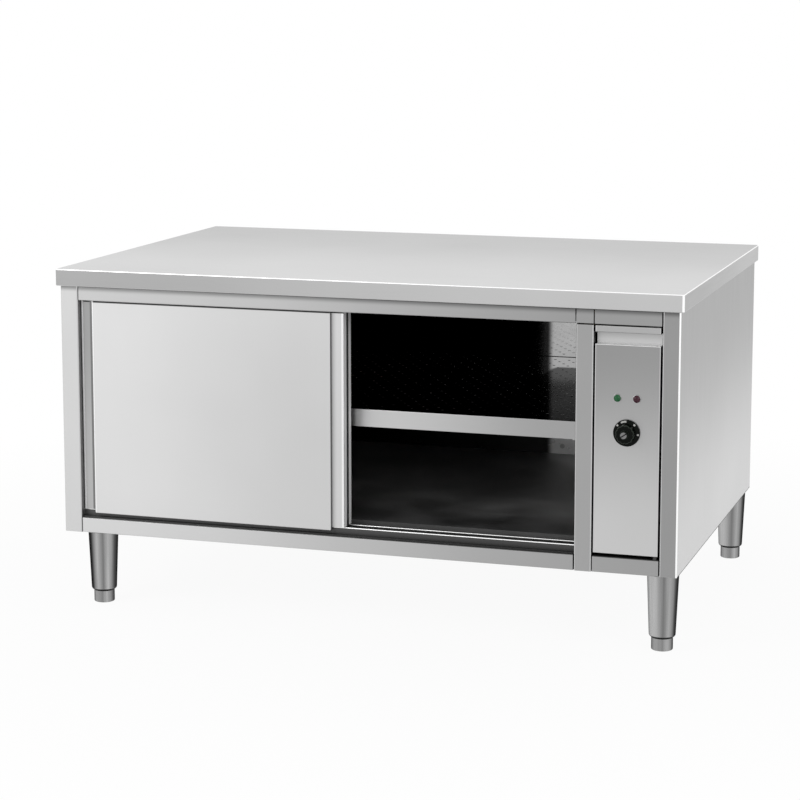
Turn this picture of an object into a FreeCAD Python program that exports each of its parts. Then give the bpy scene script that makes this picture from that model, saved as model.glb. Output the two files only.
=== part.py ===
# Heated work table: folded stainless steel cabinet with two sliding doors, a shelf, a control bay
# with its thermostat, a hot air unit and four legs with adjustable feet.
# Millimetres, +Z up, front faces -Y. The origin is on the floor under the middle of the worktop.
# Both doors are drawn slid to the left, one behind the other.
import FreeCAD, Part
import Sketcher
import math
import os
import re

Vector = FreeCAD.Vector
Rotation = FreeCAD.Rotation

# Driving sizes: alias, value in millimetres or a plain count, and what it is
SIZES = [
    ("table_width", 1500, "worktop from side to side"),
    ("table_depth", 1000, "worktop from front to back"),
    ("table_height", 810, "floor to worktop"),
    ("slab_thickness", 40, "depth of the worktop's skirts"),
    ("overhang", 8, "worktop past the cabinet, all round"),
    ("leg_height", 177, "floor to the underside of the cabinet"),
    ("sheet", 1.5, "outer sheet"),
    ("liner_sheet", 1.2, "inner sheet and door skins"),
    ("bend_radius", 2.5, "outer radius of the visible bends"),
    ("slab_return", 16, "flange under the worktop's skirts"),
    ("underlay", 18, "board under the worktop's sheet"),
    ("left_post_width", 45, "face of the left front post"),
    ("post_width", 40, "face of the centre post and of the right one"),
    ("frame_depth", 68, "front posts from front to back"),
    ("back_return", 25, "side panel's flange at the back"),
    ("bay_width", 154, "control bay between its posts"),
    ("top_rail_height", 34, "face of the top rails"),
    ("bottom_rail_height", 37, "face of the bottom rails"),
    ("rail_lip", 6, "return of the top rail over the doors"),
    ("bay_rail_lip", 20, "return of the top rail over the bay"),
    ("pan_upstand", 25, "edge of the bottom panel"),
    ("deck_rise", 26, "chamber floor above the sill"),
    ("ceiling_drop", 6, "ceiling below the head of the opening"),
    ("chamber_back_gap", 32, "back wall of the chamber to the cabinet's back"),
    ("door_width", 657, "each sliding door"),
    ("door_thickness", 25, "each sliding door"),
    ("door_setback", 8, "front door behind the posts' faces"),
    ("door_pitch", 32, "front door's face to rear door's face"),
    ("door_sill_gap", 9.5, "sill to the doors' lower edges"),
    ("door_head_cover", 12, "doors hidden behind the top rail"),
    ("door_side_gap", 1, "closed door to its post"),
    ("strip_width", 30, "finger strip down each side of a door"),
    ("strip_step", 6, "finger strips behind the door's raised face"),
    ("rib_setback", 14.5, "sill rib behind its door's face"),
    ("rib_height", 17.6, "sill ribs above the sill"),
    ("rib_gap", 0.4, "door over its rib"),
    ("rib_web", 1.5, "sill rib"),
    ("rib_bead", 3, "rib's bead, width"),
    ("rib_bead_height", 4, "rib's bead"),
    ("hanger_inset", 70, "hanger from a door's side"),
    ("hanger_width", 44, "hanger along the door"),
    ("hanger_plate", 2, "hanger's sheet"),
    ("hanger_foot_setback", 2, "hanger's foot behind the door's face"),
    ("hanger_setback", 6, "hanger's upright behind the door's face"),
    ("roller_radius", 12, "door roller"),
    ("roller_width", 8, "door roller"),
    ("roller_gap", 0.3, "roller over its ledge, and beside its neighbours"),
    ("axle_radius", 2.5, "roller's axle"),
    ("axle_head_radius", 4.5, "head that keeps the roller on"),
    ("axle_head", 1.2, "thickness of that head"),
    ("running_fit", 0.05, "radial clearance of what turns or slides on a pin"),
    ("track_gap", 4, "hanger's foot to the track's ledge"),
    ("shelf_rise", 260, "shelf's surface above the chamber floor"),
    ("shelf_lip", 41, "shelf's folded edge"),
    ("shelf_setback", 14, "shelf behind the chamber's front"),
    ("shelf_gap", 2, "shelf to the walls"),
    ("shelf_back_gap", 5, "shelf to the back wall"),
    ("shelf_rail_width", 25, "legs of the shelf's angle rails"),
    ("panel_side_gap", 4, "control panel to the posts"),
    ("panel_top_gap", 2, "control panel to the top rail"),
    ("panel_bottom_gap", 7, "control panel to the bottom rail"),
    ("panel_depth", 22, "control panel's folded edges"),
    ("pull_strip", 15, "strip above the finger pull"),
    ("pull_height", 26, "finger pull"),
    ("pull_depth", 20, "finger pull"),
    ("pivot_inset", 7, "hinge pin from the panel's corner"),
    ("pin_radius", 3, "hinge pin"),
    ("pin_length", 12, "hinge pin beyond its collar"),
    ("pin_collar", 5.5, "radius of its collar"),
    ("pin_gap", 0.3, "collar to the panel"),
    ("lamp_drop", 160, "lamps below the panel's top"),
    ("lamp_spacing", 43.5, "lamps from each other"),
    ("lamp_radius", 9.6, "lamp's bezel"),
    ("lens_radius", 8, "lamp's lens"),
    ("lens_rise", 5, "lens in front of its bezel"),
    ("bezel_rise", 2.5, "bezel in front of the panel"),
    ("lamp_body", 24, "lamp behind the panel"),
    ("lamp_body_radius", 5.5, "lamp behind the panel"),
    ("knob_drop", 237, "knob below the panel's top"),
    ("knob_radius", 30, "knob's skirt"),
    ("knob_reach", 35, "knob in front of the panel"),
    ("knob_gap", 1.5, "skirt to the panel"),
    ("skirt_rim", 4, "knob's skirt at its rim"),
    ("grip_radius", 22, "knob's grip, over its ridges"),
    ("grip_reach", 24, "front of the grip"),
    ("hub_radius", 9.5, "knob's hub"),
    ("cap_radius", 7, "metal cap in the hub"),
    ("grip_groove", 2.2, "radius of the flutes round the grip"),
    ("grip_flutes", 12, "flutes round the grip"),
    ("spindle_radius", 3, "thermostat's spindle"),
    ("thermostat_width", 46, "thermostat's body"),
    ("thermostat_depth", 38, "thermostat's body"),
    ("bulb_radius", 3, "thermostat's bulb"),
    ("bulb_length", 110, "thermostat's bulb"),
    ("bulb_clip", 6, "clip of the bulb"),
    ("bulb_setback", 70, "bulb from the chamber's back wall"),
    ("bay_insulation", 30, "insulation behind the chamber's right wall"),
    ("cover_rise", 3, "fan cover over the chamber floor"),
    ("cover_margin", 8.8, "fan cover round the heater ring, above and below"),
    ("motor_radius", 42, "fan motor"),
    ("motor_length", 68, "fan motor"),
    ("motor_flange", 65, "motor's flange, radius"),
    ("motor_plate", 3, "motor's flange"),
    ("shaft_radius", 4, "motor's shaft"),
    ("shaft_reach", 52, "shaft inside the chamber"),
    ("impeller_radius", 62, "fan's impeller"),
    ("impeller_width", 34, "fan's impeller"),
    ("impeller_wall_gap", 12, "impeller to the wall"),
    ("impeller_hub", 11, "impeller's hub, radius"),
    ("blade_root", 34, "inner radius of the blades"),
    ("blade_sheet", 1.5, "blades and disc"),
    ("blade_lean", 11, "how far a blade leans back"),
    ("blade_count", 10, "blades"),
    ("heater_radius", 82, "heater ring"),
    ("heater_tube", 4.2, "heater's tube"),
    ("heater_wall_gap", 24, "heater to the wall"),
    ("heater_tail", 60, "heater's cold ends beyond the wall"),
    ("heater_tails_apart", 24, "between the cold ends"),
    ("cover_width", 300, "fan cover from front to back"),
    ("cover_depth", 62, "fan cover from the wall"),
    ("intake_radius", 44, "intake in the cover"),
    ("intake_bar", 5, "each bar across the intake"),
    ("intake_pitch", 13, "spacing of those bars"),
    ("intake_bars", 7, "bars across the intake"),
    ("outlet_width", 6, "outlet slots in the cover"),
    ("outlet_height", 120, "outlet slots in the cover"),
    ("outlet_pitch", 14, "spacing of the outlet slots"),
    ("outlet_count", 3, "outlet slots at each end"),
    ("outlet_inset", 14, "first outlet slot from the cover's end"),
    ("block_length", 70, "terminal block"),
    ("block_width", 24, "terminal block"),
    ("block_height", 22, "terminal block"),
    ("block_slot", 3, "slots between its terminals"),
    ("block_slot_depth", 9, "slots between its terminals"),
    ("block_pitch", 14, "spacing of its terminals"),
    ("block_count", 4, "slots in the block"),
    ("block_setback", 70, "terminal block from the back panel"),
    ("gland_height", 290, "cable gland above the floor"),
    ("gland_inset", 60, "cable gland from the cabinet's side"),
    ("gland_radius", 12, "cable gland"),
    ("gland_bore", 5.5, "hole for the lead"),
    ("gland_thread", 8, "gland's thread, radius"),
    ("gland_nut", 6, "gland's nuts, thickness"),
    ("gland_tail", 14, "gland inside the cabinet"),
    ("louvre_width", 96, "louvres in the back panel"),
    ("louvre_height", 6, "louvres in the back panel"),
    ("louvre_pitch", 18, "spacing of the louvres"),
    ("louvre_count", 7, "louvres"),
    ("louvre_drop", 65, "highest louvre's lower edge below the cabinet's top"),
    ("screw_radius", 5.5, "hexagon heads of the back panel's screws, over their corners"),
    ("screw_head", 2.5, "heads of the back panel's screws"),
    ("screw_inset", 14, "screws from the panel's edge"),
    ("screw_rows", 5, "screws up each side"),
    ("left_leg_inset", 86, "left legs from the worktop's side"),
    ("right_leg_inset", 48, "right legs from the worktop's side"),
    ("leg_setback", 56, "legs from the worktop's front and back"),
    ("leg_flange", 38, "leg's flange, radius"),
    ("leg_plate", 3, "leg's flange"),
    ("leg_top_radius", 36, "leg at its top"),
    ("leg_low_radius", 30, "leg at its lower end"),
    ("leg_round", 7, "rounded lower end of the leg"),
    ("leg_wall", 1.5, "leg's tube"),
    ("foot_height", 29, "foot below the leg"),
    ("foot_radius", 24.5, "foot"),
    ("foot_round", 2.5, "rounded lower edge of the foot"),
    ("foot_gap", 0.3, "foot to the leg"),
    ("stem_radius", 6, "foot's stem"),
    ("stem_length", 62, "foot's stem above the foot"),
    ("bush_length", 24, "threaded bush in the leg"),
]
NAMES = {alias for alias, value, note in SIZES}

doc = FreeCAD.newDocument("heated_work_table")
dims = doc.addObject("Spreadsheet::Sheet", "dims")
for row, (alias, value, note) in enumerate(SIZES, start=1):
    dims.set(f"A{row}", note)
    dims.set(f"B{row}", str(value))
    dims.setAlias(f"B{row}", alias)
doc.recompute()

# Planes and heights that many pieces share, as expressions of the sizes
HALF = "(table_width / 2 - overhang)"
FRONT = "(overhang - table_depth / 2)"
BACK = "(table_depth / 2 - overhang)"
BOTTOM = "leg_height"
TOP = "(table_height - slab_thickness)"
SILL = "(leg_height + bottom_rail_height)"
HEAD = f"({TOP} - top_rail_height)"
FRAME_BACK = f"({FRONT} + frame_depth)"
DOORS_LEFT = f"(left_post_width - {HALF})"
BAY_RIGHT = f"({HALF} - post_width)"
BAY_LEFT = f"({BAY_RIGHT} - bay_width)"
DOORS_RIGHT = f"({BAY_LEFT} - post_width)"
UNDERLAY_BOTTOM = "(table_height - sheet - underlay)"
PAN_TOP = f"({BOTTOM} + pan_upstand)"
DECK = f"({SILL} + deck_rise)"
CEILING = f"({HEAD} - ceiling_drop)"
CHAMBER_BACK = f"({BACK} - chamber_back_gap)"
SHELF_TOP = f"({DECK} + shelf_rise)"
SHELF_BOTTOM = f"({SHELF_TOP} - shelf_lip)"
BACK_PANEL_INNER = f"({BACK} - 2 * sheet)"
FRONT_DOOR = f"({FRONT} + door_setback)"
REAR_DOOR = f"({FRONT_DOOR} + door_pitch)"
DOOR_BOTTOM = f"({SILL} + door_sill_gap)"
DOOR_TOP = f"({HEAD} + door_head_cover)"
LEDGE = f"({DOOR_TOP} + hanger_plate + track_gap + sheet)"
AXLE = f"({LEDGE} + roller_gap + roller_radius)"
ROLLER_FRONT = "(hanger_setback + hanger_plate + roller_gap)"
ROLLER_BACK = f"({ROLLER_FRONT} + roller_width)"
PANEL_LEFT = f"({BAY_LEFT} + panel_side_gap)"
PANEL_RIGHT = f"({BAY_RIGHT} - panel_side_gap)"
PANEL_BOTTOM = f"({SILL} + panel_bottom_gap)"
PANEL_TOP = f"({HEAD} - panel_top_gap)"
PULL_TOP = f"({PANEL_TOP} - pull_strip)"
PULL_BOTTOM = f"({PULL_TOP} - pull_height)"
BAY_MIDDLE = f"({BAY_LEFT} + bay_width / 2)"
LAMP_Z = f"({PANEL_TOP} - lamp_drop)"
KNOB_Z = f"({PANEL_TOP} - knob_drop)"
WALL_OUT = f"({DOORS_RIGHT} + liner_sheet)"
MOTOR_SEAT = f"({WALL_OUT} + bay_insulation)"
COVER_HALF = "(heater_radius + heater_tube + cover_margin)"
FAN_Z = f"({DECK} + cover_rise + {COVER_HALF})"

parts = {}


def sized(expression):
    """Point every alias of an expression at its cell in the sheet."""
    return re.sub(r"[a-z_]+[a-z_0-9]*", lambda word: f"dims.{word[0]}" if word[0] in NAMES else word[0],
                  expression)


def place(piece, corner):
    for axis, expression in zip("xyz", corner):
        piece.setExpression(f"Placement.Base.{axis}", sized(expression))


def sub_part(name, piece):
    """Give a finished object its node's name and keep it for the checks and the export."""
    piece.Label = name
    parts[name] = piece
    return piece


def block(name, low, high):
    """A box between two corners, both given as expressions."""
    piece = doc.addObject("Part::Box", name)
    for side, start, end in zip(("Length", "Width", "Height"), low, high):
        piece.setExpression(side, sized(f"({end}) - ({start})"))
    place(piece, low)
    return piece


def rod(name, radius, length, start, turn=None):
    """A cylinder from a start point, along Z or along the axis that a turn gives it."""
    piece = doc.addObject("Part::Cylinder", name)
    piece.setExpression("Radius", sized(radius))
    piece.setExpression("Height", sized(length))
    if turn:
        piece.Placement = FreeCAD.Placement(Vector(), turn)
    place(piece, start)
    return piece


def hexagon(name, radius, length, start, turn=None):
    """A six-sided bar, measured over its corners, placed like a rod."""
    piece = doc.addObject("Part::Prism", name)
    piece.Polygon = 6
    piece.setExpression("Circumradius", sized(radius))
    piece.setExpression("Height", sized(length))
    if turn:
        piece.Placement = FreeCAD.Placement(Vector(), turn)
    place(piece, start)
    return piece


ALONG_X = Rotation(Vector(0, 1, 0), 90)
ALONG_Y = Rotation(Vector(1, 0, 0), -90)


def cut(name, base, tools):
    """Cut each tool from the base in turn."""
    for count, tool in enumerate(tools, start=1):
        result = doc.addObject("Part::Cut", f"{name}_cut{count}")
        result.Base = base
        result.Tool = tool
        base = result
    return base


def joined(name, pieces):
    result = doc.addObject("Part::MultiFuse", f"{name}_joined")
    result.Shapes = pieces
    return result


def group(name, pieces):
    result = doc.addObject("Part::Compound", f"{name}_group")
    result.Links = pieces
    return result


def tray(name, low, high, wall, open_face):
    """A folded tray: a box hollowed to its sheet, open on one face such as '-z' or '+y'."""
    inner_low = [f"({start}) + {wall}" for start in low]
    inner_high = [f"({end}) - {wall}" for end in high]
    side = "xyz".index(open_face[1])
    if open_face[0] == "+":
        inner_high[side] = high[side]
    else:
        inner_low[side] = low[side]
    return cut(name, block(f"{name}_outer", low, high), [block(f"{name}_inner", inner_low, inner_high)])


def body(name, corner=("0", "0", "0")):
    piece = doc.addObject("PartDesign::Body", f"{name}_body")
    place(piece, corner)
    return piece


def outline(piece, name, plane, corners, lift=None):
    """Draw a closed outline on one of a body's origin planes; each corner follows two expressions."""
    support = next(item for item in piece.Origin.OriginFeatures if item.Role == plane)
    sketch = piece.newObject("Sketcher::SketchObject", name)
    sketch.AttachmentSupport = [(support, "")]
    sketch.MapMode = "FlatFace"
    if lift:
        sketch.setExpression("AttachmentOffset.Base.z", sized(lift))
    count = len(corners)
    spread = [Vector(math.cos(math.tau * turn / count), math.sin(math.tau * turn / count), 0)
              for turn in range(count)]
    for index in range(count):
        sketch.addGeometry(Part.LineSegment(spread[index], spread[(index + 1) % count]), False)
    for index in range(count):
        sketch.addConstraint(Sketcher.Constraint("Coincident", index, 2, (index + 1) % count, 1))
    for index, corner in enumerate(corners):
        for kind, expression in zip(("DistanceX", "DistanceY"), corner):
            number = sketch.addConstraint(Sketcher.Constraint(kind, index, 1, spread[index][kind[-1] == "Y"]))
            sketch.setExpression(f"Constraints[{number}]", sized(expression))
    return sketch


def rectangle(piece, name, plane, low, high, lift=None):
    corners = [(low[0], low[1]), (high[0], low[1]), (high[0], high[1]), (low[0], high[1])]
    return outline(piece, name, plane, corners, lift)


def pad(piece, name, sketch, length, reversed_side=False):
    feature = piece.newObject("PartDesign::Pad", name)
    feature.Profile = sketch
    feature.setExpression("Length", sized(length))
    feature.Reversed = reversed_side
    return feature


def pocket(piece, name, sketch, length, reversed_side=False):
    feature = piece.newObject("PartDesign::Pocket", name)
    feature.Profile = sketch
    feature.setExpression("Length", sized(length))
    feature.Reversed = reversed_side
    return feature


def turned(piece, name, sketch, axis):
    """Revolve an outline once round an axis of its own sketch: H_Axis or V_Axis."""
    feature = piece.newObject("PartDesign::Revolution", name)
    feature.Profile = sketch
    feature.ReferenceAxis = (sketch, [axis])
    feature.Angle = 360
    return feature


def rounded(piece, name, feature, radius, wanted):
    """Fillet the straight edges that a test on their ends and the feature's box picks."""
    doc.recompute()
    shape = feature.Shape
    edges = []
    for number, edge in enumerate(shape.Edges, start=1):
        ends = [vertex.Point for vertex in edge.Vertexes]
        if len(ends) == 2 and wanted(ends[0], ends[1], shape.BoundBox):
            edges.append(f"Edge{number}")
    fillet = piece.newObject("PartDesign::Fillet", name)
    fillet.Base = (feature, edges)
    fillet.setExpression("Radius", sized(radius))
    return fillet


def near(first, second):
    return math.isclose(first, second, abs_tol=1e-6)


def upright_front(start, end, box):
    """Vertical edges on the front face of a piece."""
    return near(start.x, end.x) and near(start.y, end.y) and near(start.y, box.YMin)


def plan_section(name, corners, bottom, top):
    """A folded upright: a plan outline stretched between two heights."""
    piece = body(name, ("0", "0", bottom))
    sketch = outline(piece, f"{name}_plan", "XY_Plane", corners)
    return piece, pad(piece, f"{name}_pad", sketch, f"({top}) - ({bottom})")


def side_section(name, corners, left, right):
    """A folded rail: a section across the table stretched from left to right."""
    piece = body(name, (left, "0", "0"))
    sketch = outline(piece, f"{name}_section", "YZ_Plane", corners)
    pad(piece, f"{name}_pad", sketch, f"({right}) - ({left})")
    return piece


# Worktop: one sheet folded down on four sides, with a narrow flange under its skirts
worktop = body("worktop", ("-table_width / 2", "-table_depth / 2", TOP))
worktop_plan = rectangle(worktop, "worktop_plan", "XY_Plane", ("0", "0"), ("table_width", "table_depth"))
worktop_pad = pad(worktop, "worktop_pad", worktop_plan, "slab_thickness")
worktop_bends = rounded(
    worktop, "worktop_bends", worktop_pad, "bend_radius",
    lambda start, end, box: near(start.z, box.ZMax) and near(end.z, box.ZMax)
    or near(start.x, end.x) and near(start.y, end.y))
worktop_mouth = rectangle(worktop, "worktop_mouth", "XY_Plane", ("slab_return", "slab_return"),
                          ("table_width - slab_return", "table_depth - slab_return"))
pocket(worktop, "worktop_mouth_cut", worktop_mouth, "slab_thickness - sheet", True)
worktop_cavity = rectangle(worktop, "worktop_cavity", "XY_Plane", ("sheet", "sheet"),
                           ("table_width - sheet", "table_depth - sheet"), "sheet")
pocket(worktop, "worktop_cavity_cut", worktop_cavity, "slab_thickness - 2 * sheet", True)
sub_part("worktop", worktop)

# Underlay board glued under the worktop's sheet, to stiffen and deaden it
sub_part("worktop_underlay", block(
    "underlay_board",
    ("sheet - table_width / 2", "sheet - table_depth / 2", UNDERLAY_BOTTOM),
    ("table_width / 2 - sheet", "table_depth / 2 - sheet", "table_height - sheet")))

# Side panels: each sheet is folded round the front to make a post, and has a flange at the back
left_plan = [
    (f"-{HALF}", BACK),
    (f"-{HALF}", FRONT),
    (DOORS_LEFT, FRONT),
    (DOORS_LEFT, FRAME_BACK),
    (f"{DOORS_LEFT} - sheet", FRAME_BACK),
    (f"{DOORS_LEFT} - sheet", f"{FRONT} + sheet"),
    (f"sheet - {HALF}", f"{FRONT} + sheet"),
    (f"sheet - {HALF}", f"{BACK} - sheet"),
    (f"back_return - {HALF}", f"{BACK} - sheet"),
    (f"back_return - {HALF}", BACK),
]
left_panel, left_pad = plan_section("side_panel_left", left_plan, BOTTOM, TOP)
rounded(left_panel, "left_bends", left_pad, "bend_radius / 2", upright_front)
sub_part("side_panel_left", left_panel)

right_plan = [
    (HALF, BACK),
    (f"{HALF} - back_return", BACK),
    (f"{HALF} - back_return", f"{BACK} - sheet"),
    (f"{HALF} - sheet", f"{BACK} - sheet"),
    (f"{HALF} - sheet", f"{FRONT} + sheet"),
    (f"{BAY_RIGHT} + sheet", f"{FRONT} + sheet"),
    (f"{BAY_RIGHT} + sheet", FRAME_BACK),
    (BAY_RIGHT, FRAME_BACK),
    (BAY_RIGHT, FRONT),
    (HALF, FRONT),
]
right_panel, right_pad = plan_section("side_panel_right", right_plan, BOTTOM, TOP)
rounded(right_panel, "right_bends", right_pad, "bend_radius / 2", upright_front)
sub_part("side_panel_right", right_panel)

# Centre post: a channel open to the back, between the doors and the control bay
post_plan = [
    (DOORS_RIGHT, FRAME_BACK),
    (DOORS_RIGHT, FRONT),
    (BAY_LEFT, FRONT),
    (BAY_LEFT, FRAME_BACK),
    (f"{BAY_LEFT} - sheet", FRAME_BACK),
    (f"{BAY_LEFT} - sheet", f"{FRONT} + sheet"),
    (f"{DOORS_RIGHT} + sheet", f"{FRONT} + sheet"),
    (f"{DOORS_RIGHT} + sheet", FRAME_BACK),
]
centre_post, centre_pad = plan_section("centre_post", post_plan, BOTTOM, HEAD)
rounded(centre_post, "centre_bends", centre_pad, "bend_radius / 2", upright_front)
sub_part("centre_post", centre_post)


def top_rail_section(lip):
    """Channel that closes the front above the opening, with a lip of its own depth."""
    return [
        (FRONT, HEAD),
        (FRONT, TOP),
        (f"{FRONT} + rail_lip", TOP),
        (f"{FRONT} + rail_lip", f"{TOP} - sheet"),
        (f"{FRONT} + sheet", f"{TOP} - sheet"),
        (f"{FRONT} + sheet", f"{HEAD} + sheet"),
        (f"{FRONT} + {lip}", f"{HEAD} + sheet"),
        (f"{FRONT} + {lip}", HEAD),
    ]


# Top rails, and the short cap of the centre post between them
sub_part("rail_top", side_section("rail_top", top_rail_section("rail_lip"), DOORS_LEFT, DOORS_RIGHT))
sub_part("post_cap", side_section("post_cap", top_rail_section("rail_lip"), DOORS_RIGHT, BAY_LEFT))
sub_part("rail_top_right", side_section("rail_top_right", top_rail_section("bay_rail_lip"),
                                        BAY_LEFT, BAY_RIGHT))

# Bottom rails: channels whose upper flange is the sill
bottom_rail_section = [
    (FRONT, BOTTOM),
    (FRONT, SILL),
    (FRAME_BACK, SILL),
    (FRAME_BACK, f"{SILL} - sheet"),
    (f"{FRONT} + sheet", f"{SILL} - sheet"),
    (f"{FRONT} + sheet", f"{BOTTOM} + sheet"),
    (FRAME_BACK, f"{BOTTOM} + sheet"),
    (FRAME_BACK, BOTTOM),
]
sub_part("rail_bottom", side_section("rail_bottom", bottom_rail_section, DOORS_LEFT, DOORS_RIGHT))
sub_part("rail_bottom_right", side_section("rail_bottom_right", bottom_rail_section, BAY_LEFT, BAY_RIGHT))

# Bottom panel: a shallow tray between the side panels
sub_part("bottom_panel", tray(
    "bottom_panel",
    (f"sheet - {HALF}", FRAME_BACK, BOTTOM),
    (f"{HALF} - sheet", BACK_PANEL_INNER, PAN_TOP),
    "sheet", "+z"))

# Back panel with louvres behind the control bay, a hole for the gland, and its screws
back_plate = block("back_plate", (f"sheet - {HALF}", BACK_PANEL_INNER, BOTTOM),
                   (f"{HALF} - sheet", f"{BACK} - sheet", TOP))
GLAND_X = f"({HALF} - gland_inset)"
louvres = []
for row in range(int(dims.louvre_count)):
    louvre_bottom = f"{TOP} - louvre_drop - {row} * louvre_pitch"
    louvres.append(block(f"louvre_{row}",
                         (f"{BAY_MIDDLE} - louvre_width / 2", BACK_PANEL_INNER, louvre_bottom),
                         (f"{BAY_MIDDLE} + louvre_width / 2", BACK, f"{louvre_bottom} + louvre_height")))
gland_hole = rod("gland_hole", "gland_thread + running_fit", "2 * sheet",
                 (GLAND_X, BACK_PANEL_INNER, "gland_height"), ALONG_Y)
sub_part("back_panel", cut("back_panel", back_plate, louvres + [gland_hole]))

screws = []
for side, sign in (("left", "-"), ("right", "")):
    for row in range(int(dims.screw_rows)):
        screw_x = f"{sign}({HALF} - back_return - screw_inset)"
        screw_z = f"{BOTTOM} + screw_inset + {row} * ({TOP} - {BOTTOM} - 2 * screw_inset) / (screw_rows - 1)"
        screws.append(hexagon(f"screw_{side}_{row}", "screw_radius", "screw_head",
                              (screw_x, f"{BACK} - sheet", screw_z), ALONG_Y))
sub_part("back_screws", group("back_screws", screws))

# Heated chamber: floor, two walls, back wall and ceiling of inner sheet
CHAMBER_LEFT_OUT = f"({DOORS_LEFT} - liner_sheet)"
CHAMBER_BACK_OUT = f"({CHAMBER_BACK} + liner_sheet)"
sub_part("deck", tray("deck", (CHAMBER_LEFT_OUT, FRAME_BACK, PAN_TOP), (WALL_OUT, CHAMBER_BACK_OUT, DECK),
                      "liner_sheet", "-z"))
sub_part("liner_left", block("liner_left_sheet", (CHAMBER_LEFT_OUT, FRAME_BACK, DECK),
                             (DOORS_LEFT, CHAMBER_BACK, CEILING)))
shaft_hole = rod("wall_shaft_hole", "2 * shaft_radius", "2 * liner_sheet", (DOORS_RIGHT, "0", FAN_Z),
                 ALONG_X)
tail_holes = [
    rod(f"wall_tail_hole_{side}", "heater_tube + running_fit", "2 * liner_sheet",
        (DOORS_RIGHT, f"{sign}heater_tails_apart / 2", f"{FAN_Z} - heater_radius"), ALONG_X)
    for side, sign in (("front", "-"), ("back", ""))
]
right_wall = block("liner_right_sheet", (DOORS_RIGHT, FRAME_BACK, DECK), (WALL_OUT, CHAMBER_BACK, CEILING))
sub_part("liner_right", cut("liner_right", right_wall, [shaft_hole] + tail_holes))
sub_part("liner_back", block("liner_back_sheet", (CHAMBER_LEFT_OUT, CHAMBER_BACK, DECK),
                             (WALL_OUT, CHAMBER_BACK_OUT, CEILING)))
ceiling_section = [
    (FRAME_BACK, CEILING),
    (FRAME_BACK, UNDERLAY_BOTTOM),
    (f"{FRAME_BACK} + liner_sheet", UNDERLAY_BOTTOM),
    (f"{FRAME_BACK} + liner_sheet", f"{CEILING} + liner_sheet"),
    (CHAMBER_BACK_OUT, f"{CEILING} + liner_sheet"),
    (CHAMBER_BACK_OUT, CEILING),
]
sub_part("liner_top", side_section("liner_top", ceiling_section, CHAMBER_LEFT_OUT, WALL_OUT))

# Mineral wool: a blanket round three walls, a slab over the ceiling and one under the floor
BLANKET_FRONT = f"({FRAME_BACK} + liner_sheet)"
blanket_plan = [
    (f"sheet - {HALF}", BLANKET_FRONT),
    (CHAMBER_LEFT_OUT, BLANKET_FRONT),
    (CHAMBER_LEFT_OUT, CHAMBER_BACK_OUT),
    (WALL_OUT, CHAMBER_BACK_OUT),
    (WALL_OUT, BLANKET_FRONT),
    (MOTOR_SEAT, BLANKET_FRONT),
    (MOTOR_SEAT, BACK_PANEL_INNER),
    (f"sheet - {HALF}", BACK_PANEL_INNER),
]
blanket, blanket_pad = plan_section("insulation_blanket", blanket_plan, PAN_TOP, TOP)
blanket_holes = [
    rod("blanket_shaft_hole", "2 * shaft_radius", "2 * bay_insulation", (DOORS_RIGHT, "0", FAN_Z),
        ALONG_X),
] + [
    rod(f"blanket_tail_hole_{side}", "heater_tube + running_fit", "2 * bay_insulation",
        (DOORS_RIGHT, f"{sign}heater_tails_apart / 2", f"{FAN_Z} - heater_radius"), ALONG_X)
    for side, sign in (("front", "-"), ("back", ""))
]
sub_part("insulation_blanket", cut("insulation_blanket", blanket, blanket_holes))
sub_part("insulation_top", block(
    "ceiling_wool", (CHAMBER_LEFT_OUT, BLANKET_FRONT, f"{CEILING} + liner_sheet"),
    (WALL_OUT, CHAMBER_BACK_OUT, UNDERLAY_BOTTOM)))
sub_part("insulation_floor", block(
    "floor_wool", (DOORS_LEFT, f"{FRAME_BACK} + sheet", f"{BOTTOM} + sheet"),
    (DOORS_RIGHT, CHAMBER_BACK, f"{DECK} - liner_sheet")))

# Sill track: two upright ribs with beads, one under each door and hidden behind its raised face
RIB_TOP = f"({SILL} + rib_height)"
BEAD_BOTTOM = f"({RIB_TOP} - rib_bead_height)"
STRIP_TOP = f"({SILL} + sheet)"


def rib_outline(middle):
    """Points of one rib and its bead, from the strip's top and back to it, front side last."""
    return [
        (f"{middle} + rib_web / 2", STRIP_TOP),
        (f"{middle} + rib_web / 2", BEAD_BOTTOM),
        (f"{middle} + rib_bead / 2", BEAD_BOTTOM),
        (f"{middle} + rib_bead / 2", RIB_TOP),
        (f"{middle} - rib_bead / 2", RIB_TOP),
        (f"{middle} - rib_bead / 2", BEAD_BOTTOM),
        (f"{middle} - rib_web / 2", BEAD_BOTTOM),
        (f"{middle} - rib_web / 2", STRIP_TOP),
    ]


sill_section = (
    [(FRONT_DOOR, SILL), (FRAME_BACK, SILL), (FRAME_BACK, STRIP_TOP)]
    + rib_outline(f"({REAR_DOOR} + rib_setback)") + rib_outline(f"({FRONT_DOOR} + rib_setback)")
    + [(FRONT_DOOR, STRIP_TOP)])
sub_part("sill_track", side_section("sill_track", sill_section, DOORS_LEFT, DOORS_RIGHT))

# Door track: one folded profile with a hooked ledge for the rollers of each door
WEB = f"({ROLLER_BACK} + roller_gap + axle_head + 2 * roller_gap)"


def ledge_outline(face):
    """Points of one hooked ledge, from the back of its web at the top, round its toe, to the front."""
    return [
        (f"{face} + {WEB} + sheet", f"{UNDERLAY_BOTTOM} - sheet"),
        (f"{face} + {WEB} + sheet", f"{LEDGE} - sheet"),
        (f"{face} + {ROLLER_FRONT}", f"{LEDGE} - sheet"),
        (f"{face} + {ROLLER_FRONT}", LEDGE),
        (f"{face} + {WEB}", LEDGE),
    ]


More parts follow.
